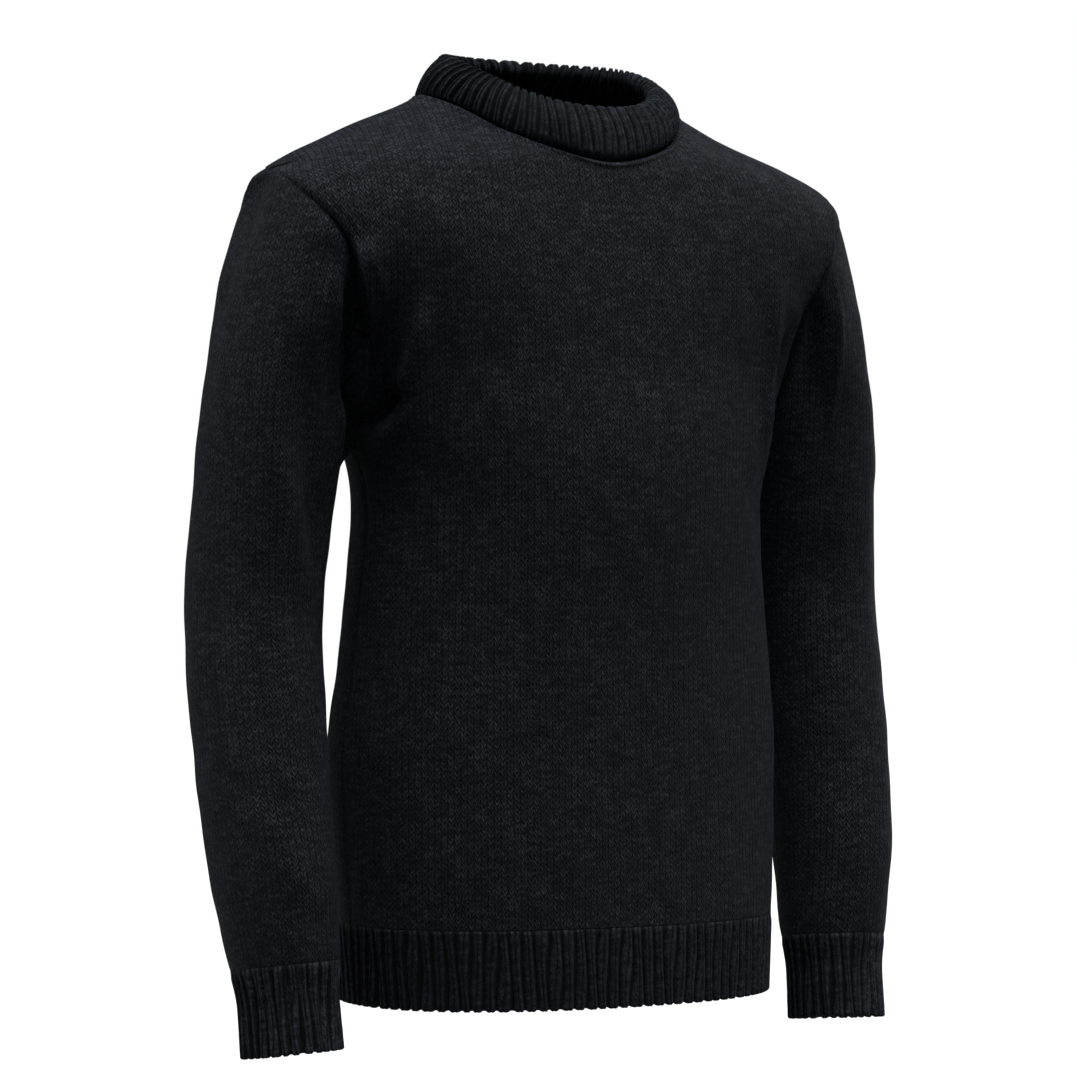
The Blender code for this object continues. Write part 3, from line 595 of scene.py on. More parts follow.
@lru_cache(maxsize=None)
def sleeve_grid(right):
    """Fine grid of a sleeve as if on the wearer's left, open along its underarm seam, and its places."""
    front, back = body_grids()[False][0], body_grids()[True][0]
    if right:
        front, back = mirrored(front), mirrored(back)
    edge = np.concatenate([front[ARMHOLE_FINE, -1][::-1][:-1], back[ARMHOLE_FINE, 0][:-1]])
    coarse = sleeve(edge[::STEPS])
    row_places = fine_places(CAP_ROWS + ARM_ROWS, ARM_STEPS)
    column_places = np.arange(2 * HALF_RING) / STEPS
    grid = refine_both(coarse, row_places, column_places, closed=True)
    # The first rows bend to the panels' fine edge, which their own curve only comes near.
    grid += (edge - grid[0]) * np.clip(1 - row_places, 0, 1)[:, None, None]
    folds = SLEEVE_RIGHT_FOLDS if right else SLEEVE_LEFT_FOLDS
    fade = np.clip(np.linalg.norm(grid - grid[:1], axis=2) / FOLD_FADE, 0, 1)
    fade = fade * np.clip(np.linalg.norm(grid - grid[-1:], axis=2) / FOLD_FADE, 0, 1)
    grid = grid + (fold_rise(grid, folds) * fade)[..., None] * normals(grid, True)
    opened = closed_up(np.roll(coarse, -ARMHOLE_ROWS, axis=1), 1)
    plan = laid_out(opened, ARMHOLE_ROWS, -1)
    seam_first = np.linspace(0, 2 * ARMHOLE_ROWS, 2 * HALF_RING + 1)
    places = refine_both(plan, row_places, seam_first)
    return np.roll(grid, -HALF_RING, axis=1), places


# ---- relief of the cloth -------------------------------------------------------------------------

CLOTH_RELIEF = 0.00035           # slow unevenness of a heavy hand-washed knit
SEAM_DIP = 0.0012                # how far a sewn edge rolls in, and from how far off
SEAM_REACH = 0.0028
LIGHT_SEAM = 0.5                 # how deep a side seam rolls in, against an armhole
MARKS = (1, 2)                   # fashioned ridges beside an armhole, numbered away from it
MARK_SPACING = 0.011             # from the armhole to the first, and on to the second
MARK_RISE = 0.0011               # their height, and half their width
MARK_WIDTH = 0.0028
MARK_FADE = (3, 2)               # rows in which they fade in above the underarm, and out at the shoulder
CREASE_STEPS = 21                # points along a crease
CREASE_END = 0.35                # share of its length in which it dies away at either end
RIPPLES = 9                      # crossing ripples in the cloth's slow unevenness
RIPPLE_LENGTHS = (0.025, 0.08)   # shortest and longest

# How deep an armhole's sewing sinks, by right and back, from the shoulder seam down: share, depth.
# It stands out as a tongue, with a depth below zero, where the near armpit's two hollows leave it.
ARMHOLE_SINK = {
    (True, False): ((0.0, 0.0012), (0.15, 0.0020), (0.35, 0.0035), (0.45, 0.0060), (0.52, 0.0100),
                    (0.60, 0.0110), (0.66, 0.0010), (0.70, -0.0080), (0.81, -0.0080), (0.86, 0.0030),
                    (0.90, 0.0065), (0.94, 0.0040), (0.97, 0.0020), (1.0, 0.0012)),
    (True, True): ((0.0, 0.0012), (0.3, 0.0026), (0.6, 0.0070), (0.8, 0.0060), (1.0, 0.0012)),
    (False, False): ((0.0, 0.0012), (0.3, 0.0026), (0.55, 0.0070), (0.8, 0.0055), (1.0, 0.0012)),
    (False, True): ((0.0, 0.0012), (0.3, 0.0024), (0.65, 0.0070), (0.85, 0.0050), (1.0, 0.0012)),
}
PANEL_SPREAD = 0.15              # how much wider a deeper sewing line is on a panel, per metre of depth
SLEEVE_SPREAD = 0.60             # and on a sleeve


def crease_rise(places, creases):
    """Sum of fine creases, each a soft ridge or trough along a bent run that dies away at its ends."""
    rise = np.zeros(places.shape[:-1])
    share = np.linspace(0, 1, CREASE_STEPS)[:, None]
    for crease in creases:
        start, middle, end = (np.array(crease[i:i + 2]) for i in (0, 2, 4))
        width, top = crease[6:]
        bend = 2 * middle - (start + end) / 2
        run = start * (1 - share)**2 + 2 * bend * share * (1 - share) + end * share**2
        near = np.full(places.shape[:-1], np.inf)
        where = np.zeros(places.shape[:-1])
        for number, (here, ahead) in enumerate(zip(run, run[1:])):
            step = ahead - here
            part = np.clip((places - here) @ step / (step @ step), 0, 1)
            gap = np.linalg.norm(places - here - part[..., None] * step, axis=-1)
            where = np.where(gap < near, (number + part) / (CREASE_STEPS - 1), where)
            near = np.minimum(near, gap)
        fade = smoothstep(np.minimum(where, 1 - where) / CREASE_END)
        rise += top * fade * hump(near, width)
    return rise


def unevenness(places, seed):
    """Slow waves over the cloth, as a sum of a few crossing ripples."""
    draw = np.random.default_rng(seed)
    rise = np.zeros(places.shape[:-1])
    for _ in range(RIPPLES):
        way = draw.uniform(0, 2 * pi)
        length = draw.uniform(*RIPPLE_LENGTHS)
        ripple = places @ np.array([cos(way), sin(way)]) * 2 * pi / length
        rise += np.sin(ripple + draw.uniform(0, 2 * pi)) / RIPPLES**0.5
    return rise * CLOTH_RELIEF


def sewn_edge(distance, depth=SEAM_DIP, spread=0):
    """Roll of the cloth towards its sewn edge; a deeper one may start further off."""
    reach = SEAM_REACH + np.abs(depth - SEAM_DIP) * spread
    return -depth * hump(distance, reach)


def sink(right, back, share):
    """Depth of the sewing at a share of half an armhole, from the shoulder seam down."""
    return np.interp(share, *np.array(ARMHOLE_SINK[right, back]).T)


# ---- creases -------------------------------------------------------------------------------------

# Fine creases, given one by one on the cloth itself: start, middle and end (across, up), width, rise.
FRONT_CREASES = (
    (-0.153, 0.466, -0.167, 0.405, -0.197, 0.352, 0.0060, 0.0060),    # edge of the chest by the armpit
    (-0.197, 0.502, -0.196, 0.465, -0.193, 0.422, 0.0125, 0.0105),    # full part above the armpit
    (-0.180, 0.420, -0.188, 0.398, -0.200, 0.374, 0.0075, -0.0050),   # hollow beside it
    (-0.172, 0.392, -0.196, 0.373, -0.224, 0.353, 0.0065, -0.0175),   # pocket at its lower end
    (-0.164, 0.377, -0.186, 0.356, -0.212, 0.338, 0.0060, 0.0040),    # its lower lip
    (0.138, 0.495, 0.144, 0.410, 0.149, 0.325, 0.0085, 0.0052),       # the same edge on the left
    (0.168, 0.462, 0.167, 0.408, 0.166, 0.356, 0.0110, -0.0080),      # hollow beside it
)
BACK_CREASES = (
    (-0.150, 0.470, -0.160, 0.420, -0.172, 0.370, 0.0080, 0.0038),    # edge by the left armpit
    (-0.176, 0.450, -0.184, 0.410, -0.196, 0.372, 0.0090, -0.0060),   # hollow beside it
    (0.156, 0.460, 0.162, 0.412, 0.178, 0.366, 0.0075, 0.0040),       # edge by the right armpit
    (0.181, 0.446, 0.186, 0.405, 0.199, 0.374, 0.0090, -0.0068),      # hollow beside it
)
SLEEVE_LEFT_CREASES = (
    (0.088, -0.050, 0.094, -0.118, 0.099, -0.185, 0.0045, 0.0045),    # edge in front of the armpit
    (0.068, 0.025, 0.072, -0.060, 0.060, -0.200, 0.0300, -0.0066),    # broad slack below the shoulder
    (0.110, -0.065, 0.114, -0.112, 0.118, -0.165, 0.0080, -0.0060),   # hollow behind it
    (-0.105, -0.070, -0.112, -0.115, -0.118, -0.160, 0.0080, -0.0050),  # the same two at the back
    (-0.088, -0.075, -0.094, -0.125, -0.096, -0.175, 0.0060, 0.0030),
)
SLEEVE_RIGHT_CREASES = (
    (0.099, -0.030, 0.128, -0.130, 0.164, -0.232, 0.0062, -0.0185),   # deep crease by the armhole
    (0.080, -0.036, 0.108, -0.120, 0.139, -0.218, 0.0070, 0.0055),    # round edge that hides it
    (-0.012, 0.030, -0.018, -0.012, -0.020, -0.082, 0.0260, -0.0046),  # broad slack below the shoulder
    (0.050, -0.080, 0.067, -0.210, 0.110, -0.338, 0.0120, 0.0036),    # long soft edge down the arm
    (0.084, -0.110, 0.094, -0.215, 0.124, -0.320, 0.0140, -0.0050),   # hollow along it
    (-0.108, -0.070, -0.113, -0.118, -0.118, -0.165, 0.0080, -0.0055),  # two at the back
    (-0.090, -0.070, -0.095, -0.120, -0.099, -0.180, 0.0060, 0.0030),
)


# ---- seams ---------------------------------------------------------------------------------------

SEAM_TURN = 0.007                # a piece turns to its neighbour's direction within this of a seam
PLAIN_EDGE = 0.010               # creases die away within this of a seam


@lru_cache(maxsize=None)
def seam_directions():
    """Outward directions shared at seams: both edge columns of each panel, and each sleeve's top."""
    front, back = (normals(body_grids()[side][0], False) for side in (False, True))
    edges = {False: front[:, [0, -1]].copy(), True: back[:, [0, -1]].copy()}
    tops = {}
    for side, other in ((0, 1), (1, 0)):
        shared = unit(front[:, -side] + back[:, -other])
        edges[False][:, side] = shared
        edges[True][:, other] = shared
    for right in (False, True):
        column, other = (0, 1) if right else (1, 0)
        flip = MIRROR if right else 1
        arm = normals(sleeve_grid(right)[0], True)[0] * flip
        ring = closed_up(arm)
        up_back, up_front = ring[:HALF_RING + 1], ring[HALF_RING:][::-1]
        direct = {}
        halves = ((False, front, column, up_front), (True, back, other, up_back))
        for panel_back, own, place, part in halves:
            joined = own[ARMHOLE_FINE, -place] + part
            # Both panels meet at its two ends, so their shared direction counts twice there.
            joined[[0, -1]] = edges[panel_back][[ARMHOLE_FIRST, ARMHOLE_LAST], place] * 2 + part[[0, -1]]
            direct[panel_back] = unit(joined)
            edges[panel_back][ARMHOLE_FINE, place] = direct[panel_back]
        tops[right] = np.concatenate([direct[True][:-1], direct[False][::-1][:-1]]) * flip
    return edges, tops


def turned(own, shared, distance):
    """Directions that turn from a piece's own to the shared ones as they near the seam."""
    weight = smoothstep(distance / SEAM_TURN)[..., None]
    return unit(own * weight + shared * (1 - weight))


# ---- knitted pieces ------------------------------------------------------------------------------

PANEL_SEEDS = (3, 4)             # of the unevenness: front and back
SLEEVE_SEEDS = (7, 8)            # left and right
COLLAR_SINK = 0.0030             # how far the panels' top edge sinks under the collar
LINK_DROP = 0.0060               # how far below it the linking seam's welt runs
LINK_RISE = 0.0015               # the welt's height, and half its width
LINK_WIDTH = 0.0016
INNER_SHARE = 0.6                # how much of a crease shows on the inside
SIDE_BULGE = 0.0046              # at the side seam on the wearer's right, and how far round it reaches
SIDE_BULGE_REACH = 0.080
SIDE_BULGE_Z = -0.40             # it is gone above this, and full this far below
SIDE_BULGE_FADE = 0.1
BLOUSE = 0.0010                  # how far a sleeve draws in above its cuff, and how far up
BLOUSE_UP = 0.036
FLARE = 0.0026                   # how far cuff and sleeve stand out at their seam
FLARE_REACH = 0.016


def cloth_relief(places, creases, seed, edges):
    """Creases and unevenness of a piece, which die away towards its edges."""
    rise = crease_rise(places, creases) + unevenness(places, seed)
    for distance in edges:
        rise *= smoothstep(distance / PLAIN_EDGE)
    return rise


def faces(grid, outward, *rises):
    """Outer and inner points of a wall, from how far each face stands out of its grid."""
    return [grid + rise[..., None] * outward for rise in rises]


def fashion_marks(distance):
    """Two soft ridges beside an armhole, where stitches were taken off to shape it."""
    rise = sum(MARK_RISE * hump(distance - number * MARK_SPACING, MARK_WIDTH) for number in MARKS)
    row = ROW_PLACES[:, None]
    fade_in, fade_out = MARK_FADE
    return rise * smoothstep((row - SIDE_ROWS) / fade_in) * smoothstep((SHOULDER_ROW - row) / fade_out)


def side_bulge(distance):
    """The body rounds out a little about the side seam on the wearer's right, at and above the hem."""
    return SIDE_BULGE * hump(distance, SIDE_BULGE_REACH)


def flare(distance):
    """How far a sleeve and its cuff stand out at the line between them."""
    return FLARE * hump(distance, FLARE_REACH)


def panel_walls(back, sizes):
    """Outer and inner points of the front or back, and the places of its cloth."""
    grid, places = body_grids()[back]
    left, right = from_ends(grid, 1)
    up, top = from_ends(grid)
    side = np.minimum(left, right)
    near_left = left < right
    share = (SHOULDER_ROW - ROW_PLACES[:, None]) / ARMHOLE_ROWS
    depth = np.where(near_left, sink(not back, back, share), sink(back, back, share))
    edges = seam_directions()[0][back]
    shared = np.where(near_left[..., None], edges[:, :1], edges[:, 1:])
    outward = turned(normals(grid, False), shared, side)
    creases = BACK_CREASES if back else FRONT_CREASES
    rise = cloth_relief(places, creases, PANEL_SEEDS[back], (side, top, up)) + fashion_marks(side)
    below = smoothstep((SIDE_BULGE_Z - grid[..., 2]) / SIDE_BULGE_FADE)
    rise += side_bulge(right if back else left) * below
    rise += LINK_RISE * hump(top - LINK_DROP, LINK_WIDTH)
    sewn = sewn_edge(side, depth, PANEL_SPREAD) + sewn_edge(top, COLLAR_SINK)
    outer, inner = faces(grid, outward, rise + sewn, rise * INNER_SHARE + sewn - sizes.cloth)
    return outer, inner, places


def sleeve_walls(right, sizes):
    """Outer and inner points of a sleeve, and the places of its cloth, with its underarm seam closed."""
    grid, places = sleeve_grid(right)
    grid, own = closed_up(grid, 1), closed_up(normals(grid, True), 1)
    armhole_edge = closed_up(seam_directions()[1][right])
    down, end = from_ends(grid)
    seam = np.minimum(*from_ends(grid, 1))
    way = sleeve_way(CUFF_RUN)
    level = unit(own[-1] - (own[-1] @ way)[:, None] * way)
    outward = turned(turned(own, armhole_edge[None], down), level[None], end)
    creases = SLEEVE_RIGHT_CREASES if right else SLEEVE_LEFT_CREASES
    rise = cloth_relief(places, creases, SLEEVE_SEEDS[right], (down, end, seam))
    turn = np.linspace(-1, 1, 2 * HALF_RING + 1)
    depth = np.where(turn < 0, sink(right, True, -turn), sink(right, False, turn))
    sewn = sewn_edge(down, depth, SLEEVE_SPREAD) + flare(end) + sewn_edge(seam) * LIGHT_SEAM
    sewn = sewn - BLOUSE * hump(end - BLOUSE_UP, FLARE_REACH)
    outer, inner = faces(grid, outward, rise + sewn, rise * INNER_SHARE + sewn - sizes.cloth)
    if right:
        outer, inner = mirrored(outer), mirrored(inner)
        places = places[:, ::-1] * MIRROR[:2]
    return outer, inner, places


# ---- ribs ----------------------------------------------------------------------------------------

RIB_STEPS = 12                   # fine columns to a rib
RIB_FACE = 0.76                  # share of a rib's pitch that stands up
RIB_RISE = 0.0024                # height of a rib over its groove
COLLAR_RIB_RISE = 0.0026         # the same on the collar
RIB_DIP = 0.17                   # width of the dip along a rib, as a share of half its pitch
RIB_SPLIT = 0.34                 # depth of that dip, between its two rows of stitch legs, as a share
RIB_SUNK = 0.55                  # how far ribs stand below the cloth's face, as a share of their height
RIB_STRAYS = ((1.3, 9, 0.110), (0.9, 23, 0.070), (0.7, 5, -0.160))    # share, waves round, length up
RIB_END = 0.003                  # ribs round off within this of their free edge
RIB_JOIN = 0.008                 # and rise out of the plain knitting within this
SCALLOP = 0.0012                 # how far a groove ends above the ribs beside it
BAND_ROWS = 20                   # fine rows up a hem or cuff
EDGE_ROUND = 0.0014              # rounding of a knitted edge
HEM_PITCH = 0.0095               # from rib to rib on the cloth
CUFF_PITCH = 0.0080              # the same on a cuff


def wander(column, up):
    """How far ribs stray sideways as they run up, in fine columns; it closes round a ring."""
    turn = column / (len(column) - 1)
    stray = sum(share * np.sin(2 * pi * (waves * turn + up / length))
                for share, waves, length in RIB_STRAYS)
    return stray * smoothstep(np.minimum(turn, 1 - turn) * len(column) / RIB_STEPS)


def rib_height(column):
    """Height of ribs at fine columns, from 0 in a groove to about 1 on a rib."""
    out = np.abs(2 * (column / RIB_STEPS % 1) - 1)
    bulge = np.sqrt(np.clip(1 - (out / RIB_FACE)**2, 0, 1))
    return bulge - RIB_SPLIT * hump(out, RIB_DIP)


def ribbed_walls(rings, outward, pitch, heights, closed, sizes):
    """Outer and inner points of a rib that runs up rings of points, from its free edge.

    A closed one flares at its top, as a cuff does, and another has a sewn seam at either side.
    """
    column = np.arange(rings.shape[1])
    up, end = from_ends(rings)
    shift = wander(column, up)
    rib = (rib_height(column + shift) - RIB_SUNK) * smoothstep(end / RIB_JOIN)
    roll = EDGE_ROUND * np.clip(1 - up / EDGE_ROUND, 0, 1)**2
    scallop = SCALLOP * (RIB_SUNK - rib) * hump(up, RIB_END)
    rings = rings + scallop[..., None] * unit(rings[-1] - rings[0])
    sewn = flare(end) if closed else sewn_edge(np.minimum(*from_ends(rings, 1))) * LIGHT_SEAM
    rise = rib * sizes.rib_rise
    outer, inner = faces(rings, outward, rise - roll + sewn,
                         rise * INNER_SHARE - sizes.cloth + roll / 2 + sewn)
    places = np.stack(np.broadcast_arrays((column + shift) * pitch / RIB_STEPS, heights[:, None]), -1)
    return outer, inner, places


def band_places(length):
    """Places of fine rows up a rib, closer together at its free edge."""
    return np.concatenate([[0, EDGE_ROUND / 4, EDGE_ROUND / 2, EDGE_ROUND],
                           np.linspace(2 * EDGE_ROUND, length, BAND_ROWS)])


def hem_walls(back, sizes):
    """Half the hem rib."""
    start = 0 if back else -pi
    turns = np.linspace(start, start + pi, CURVE_STEPS)
    heights = HEM_Z + band_places(RIB_TOP_Z - HEM_Z)
    count = HEM_RIBS // 2 * RIB_STEPS + 1
    rings = np.array([even_points(level_line(height, turns), count) for height in heights])
    outward = normals(rings, False)
    outward[..., 2] = 0           # ribs stand out level,
    outward[:, [0, -1], 1] = 0    # and at the side seams straight to the side, where both halves meet
    outward = unit(outward)
    to_right = from_ends(rings, 1)[back]
    rings = rings + side_bulge(to_right)[..., None] * outward
    return ribbed_walls(rings, outward, HEM_PITCH, heights - RIB_TOP_Z, False, sizes)


def cuff_walls(right, sizes):
    """A cuff, from its free edge up."""
    turns = np.linspace(0, 2 * pi, CURVE_STEPS, endpoint=False) + pi
    top, foot = (along(SLEEVE_SECTIONS, run)[0][:3] for run in (CUFF_RUN, 1))
    length = np.linalg.norm(foot - top)
    up = band_places(length)
    runs = 1 - up / length * (1 - CUFF_RUN)
    rings = np.array([even_points(closed_up(sleeve_ring(run, turns)[::-1]), CUFF_RIBS * RIB_STEPS + 1)
                      for run in runs])
    outward = closed_up(normals(rings[:, :-1], True), 1)
    down = sleeve_way(CUFF_RUN)
    outward = unit(outward - (outward @ down)[..., None] * down)
    outer, inner, places = ribbed_walls(rings, outward, CUFF_PITCH, up - length, True, sizes)
    if right:
        outer, inner = mirrored(outer), mirrored(inner)
    return outer, inner, places


# ---- collar --------------------------------------------------------------------------------------

COLLAR_PITCH = 0.0085            # from rib to rib on the cloth
COLLAR_UP_ROWS = 16              # fine rows up one layer
COLLAR_FOLD_ROWS = 9             # and over the fold
COLLAR_SHARE = 0.90              # share of the rim's height that the fold's middle reaches
COLLAR_ROLL = 0.0036             # how much thicker the soft band is at its fold
COLLAR_CORE = 0.0006             # half the space between the collar's two layers
COLLAR_FOOT = 0.35               # share of the height in which the band turns up from the panels
COLLAR_FOOT_RIBS = 0.2           # how much of the ribs shows at the foot


def collar_foot():
    """Points of the neck seam on the panels, finely, and the panels' outward directions there."""
    front, back = (body_grids()[side][0] for side in (False, True))
    edge = np.concatenate([front[-1, :-1], back[-1]])
    out = np.concatenate([normals(front, False)[-1, :-1], normals(back, False)[-1]])
    out[-1] = out[0]
    walk = walked(edge)
    where = np.linspace(0, walk[-1], COLLAR_RIBS * RIB_STEPS + 1)
    return read_at(where, walk, edge), read_at(where, walk, out)


def collar_ways():
    """Rows of the doubled band: up its outside, over the fold and down its inside, as share and angle."""
    shares = np.linspace(0, 1, COLLAR_UP_ROWS)
    angles = np.linspace(0, pi, COLLAR_FOLD_ROWS)[1:-1]
    return ([(share, 0) for share in shares] + [(1, angle) for angle in angles]
            + [(share, pi) for share in shares[::-1]])


def collar_walls(sizes):
    """Outer and inner points of the doubled collar band, and the places of its cloth."""
    foot, panel_out = collar_foot()
    rim = collar_rim(turns_round_neck(foot))
    out = closed_up(normals(np.array([foot, rim])[:, :-1], True)[0])
    up = unit(rim - foot)
    foot_out = unit(out + unit(panel_out))
    to_right = -foot[:, :1] / NECK_HALF_WIDTH
    column = np.arange(len(foot))
    height = np.linalg.norm(rim - foot, axis=1).mean()
    outer, inner, places = [], [], []
    for share, angle in collar_ways():
        keep = smoothstep(share / COLLAR_FOOT)
        face = unit(out * keep + foot_out * (1 - keep))
        bulge = COLLAR_BULGE * (1 - (2 * share - 1)**2)
        roll = COLLAR_ROLL / 2 * smoothstep(share)
        centre = foot + (rim - foot) * share * COLLAR_SHARE - face * COLLAR_CLOTH / 2
        centre = centre + out * (bulge + roll * to_right)
        around = face * cos(angle) + up * sin(angle)
        shift = wander(column, share * height)
        rib = rib_height(column + shift)[:, None]
        stand = rib * sizes.collar_rib_rise * smoothstep(share * height / RIB_END + COLLAR_FOOT_RIBS)
        outer.append(centre + around * (COLLAR_CLOTH / 2 + stand + roll))
        inner.append(centre + around * (COLLAR_CORE + stand * INNER_SHARE))
        walked_up = share * height if angle < pi else (2 - share) * height
        walked_up += angle * COLLAR_CLOTH / 2
        places.append(np.stack([(column + shift) * COLLAR_PITCH / RIB_STEPS,
                                np.full(len(foot), walked_up)], 1))
    return np.array(outer), np.array(inner), np.array(places)


# ---- making a piece ------------------------------------------------------------------------------

def deselect():
    bpy.ops.object.select_all(action="DESELECT")


def read_all(values, name, count, kind=float):
    """One value of every point or corner of a mesh."""
    numbers = np.empty(count, kind)
    values.foreach_get(name, numbers)
    return numbers


def bend(mesh, outer, inner, places):
    """Bends a flat grid to its outer points; it keeps its inner ones, and its places in the cloth."""
    rows, columns = outer.shape[:2]
    start = read_all(mesh.vertices, "co", len(mesh.vertices) * 3).reshape(-1, 3)
    share = start - start.min(axis=0)    # of the primitive's width and depth, which are 1
    column = np.round(share[:, 0] * (columns - 1)).astype(int)
    row = np.round(share[:, 1] * (rows - 1)).astype(int)
    mesh.vertices.foreach_set("co", outer[row, column].ravel())
    inside = mesh.attributes.new("inside", "FLOAT_VECTOR", "POINT")
    inside.data.foreach_set("vector", inner[row, column].ravel())
    corner = read_all(mesh.loops, "vertex_index", len(mesh.loops), int)
    mesh.uv_layers[0].name = "cloth"
    mesh.uv_layers[0].data.foreach_set("uv", places[row, column][corner].ravel())


def make_sheet(name, walls, closed, material):
    """A wall of cloth, from a grid that is bent to its outer points and thickened to its inner ones."""
    rows, columns = walls[0].shape[:2]
    deselect()
    bpy.ops.mesh.primitive_grid_add(x_subdivisions=columns - 1, y_subdivisions=rows - 1, size=1)
    piece = bpy.context.object
    piece.name = piece.data.name = name
    bend(piece.data, *walls)
    if closed:
        bpy.ops.object.mode_set(mode="EDIT")
        bpy.ops.mesh.select_all(action="SELECT")
        bpy.ops.mesh.remove_doubles(threshold=WELD)
        bpy.ops.object.mode_set(mode="OBJECT")
    thicken(piece)
    bpy.ops.object.shade_smooth()
    piece.data.materials.clear()
    piece.data.materials.append(material)
    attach(piece, "root")
    return piece


def thicken(piece):
    """Gives a sheet its wall, whose inner points are the ones that it carries."""
    wall = piece.modifiers.new("Wall", "SOLIDIFY")
    wall.thickness = CLOTH
    wall.offset = -1
    bpy.ops.object.modifier_apply(modifier=wall.name)
    mesh = piece.data
    count = len(mesh.vertices) * 3
    points = read_all(mesh.vertices, "co", count)
    inside = read_all(mesh.attributes["inside"].data, "vector", count)
    points[count // 2:] = inside[count // 2:]
    mesh.vertices.foreach_set("co", points)
    mesh.attributes.remove(mesh.attributes["inside"])
    mesh.update()


# ---- wool ----------------------------------------------------------------------------------------

# Stitches, tufts and fibres are drawn a little coarser than in the yarn, so that they show.
WALE = 0.0047                    # one column of stitches
COURSE = 0.0040                  # one row of stitches
STITCH_RELIEF = 0.0014           # height of a stitch over the gaps beside it
LAP_FALL = 2.5                   # more than 1 makes the gaps between rows thin
STITCH_GAP_PAINTED_SHADE = 0.12              # painted shade: share of the wool's colour kept in the gaps between stitches, where little light reaches
SLUB_STRETCH = (0.35, 1, 0)      # thick places of the yarn run along the rows
LOOSE_FIBRES = 0.5               # height of loose fibres, as a share of a stitch's
FIBRE_SHADE = (0.4, 1.2)         # how dark a place without loose fibres is, and what they add

# How stitches look. face: share of a column's width that they fill. slope: how far a leg climbs, in
# rows, which is more in a rib, as it is pulled narrow. rows: how deep the gaps are between rows,
# against those between columns. split: 1 makes the line inside a stitch as deep as the one beside
# it. fall: less than 1 makes legs full and the lines between them thin. wobble: stray of the
# stitches across and up, in metres.
PLAIN_STITCH = {"face": 1.0, "slope": 1.1, "rows": 0.9, "split": 0.6, "fall": 0.6,
                "wobble": (0.0022, 0.0018)}
RIB_STITCH = {"face": RIB_FACE, "slope": 2.4, "rows": 0.45, "split": 0.97, "fall": 1.3,
              "wobble": (0.0012, 0.0030)}

# Unevenness of the wool: size of its patches, detail, and its part in the melange's colour.
STRAY = (0.007, 2.0)             # where the hand's tension moved the stitches
SLUB = (0.004, 2.0, 0.35)        # thick and thin places of the yarn
TUFT = (0.0022, 3.0, 0.50)       # tufts of lighter wool that were carded in
CLOUD = (0.016, 2.0, 0.15)       # slow patches
FIBRE = (0.0005, 2.0)            # single loose fibres
ROUGH_DETAIL = 0.6               # how strong the finer detail of each is

# Melange greys, from the darkest tuft to the lightest: place on the ramp, and colours of each knit.
GREY_PLACES = (0.38, 0.5, 0.63)
KNIT_COLOURS = ("#14171c", "#282c33", "#464a53")
RIB_COLOURS = ("#14171b", "#272b32", "#43474f")
CUFF_PAINTED_LIGHT = 1.35                 # painted light: the cuffs' greys are drawn a little lighter, as if more light fell on them

KNIT = "lambswool_plain_knit"
# Each rib's wool: from rib to rib, and how much lighter its greys are drawn, which on the cuffs is painted
# light.
RIBS = {"lambswool_hem_rib": (HEM_PITCH, 1.0), "lambswool_cuff_rib": (CUFF_PITCH, CUFF_PAINTED_LIGHT),
        "lambswool_collar_rib": (COLLAR_PITCH, 1.0)}
WOOL_ROUGHNESS = 0.93
WOOL_SPECULAR = 0.1              # fibres scatter what a smooth face would reflect
SHEEN = 0.02
SHEEN_ROUGHNESS = 0.45
SHEEN_TINT = "#c3cddc"


def linear(grey):
    """Linear light of an sRGB hex colour such as "#2a2c31", by the standard's own curve."""
    parts = (int(grey[i:i + 2], 16) / 255 for i in (1, 3, 5))
    return tuple(part / 12.92 if part <= 0.04045 else ((part + 0.055) / 1.055)**2.4 for part in parts)


def add(tree, kind, *inputs, named=None, **settings):
    """Adds a node with its first inputs in order, its other inputs by name, and its own settings."""
    node = tree.nodes.new("ShaderNode" + kind)
    for name, value in settings.items():
        setattr(node, name, value)
    for place, value in [*enumerate(inputs), *(named or {}).items()]:
        if isinstance(value, bpy.types.Node):
            value = value.outputs[0]
        if isinstance(value, bpy.types.NodeSocket):
            tree.links.new(value, node.inputs[place])
        else:
            node.inputs[place].default_value = value
    return node


def stitch_height(tree, place, wale, course, look):
    """Height of knitting, from 0 to 1: two slanting legs to a stitch, in columns of stitches."""
    across, up = add(tree, "SeparateXYZ", place).outputs[:2]
    turn = add(tree, "Math", add(tree, "Math", across, wale, operation="DIVIDE"), operation="FRACT")
    out = add(tree, "Math", turn, 2.0, -1.0, operation="MULTIPLY_ADD")
    out = add(tree, "Math", out, operation="ABSOLUTE")
    out = add(tree, "Math", out, look["face"], operation="DIVIDE", use_clamp=True)
    row = add(tree, "Math", up, course, operation="DIVIDE")
    climb = add(tree, "Math", out, -look["slope"], row, operation="MULTIPLY_ADD")
    lap = add(tree, "Math", climb, operation="FRACT")
    lap = add(tree, "Math", lap, 2.0, -1.0, operation="MULTIPLY_ADD")
    gap = add(tree, "Math", add(tree, "Math", lap, operation="ABSOLUTE"), LAP_FALL, operation="POWER")
    over = add(tree, "Math", gap, -look["rows"], 1.0, operation="MULTIPLY_ADD")
    split = look["split"]
    leg = add(tree, "Math", out, 1 + split, -split, operation="MULTIPLY_ADD")
    across_leg = add(tree, "Math", leg, leg, operation="MULTIPLY")
    across_leg = add(tree, "Math", 1.0, across_leg, operation="SUBTRACT")
    full = add(tree, "Math", across_leg, look["fall"], operation="POWER")
    return add(tree, "Math", over, full, operation="MULTIPLY")


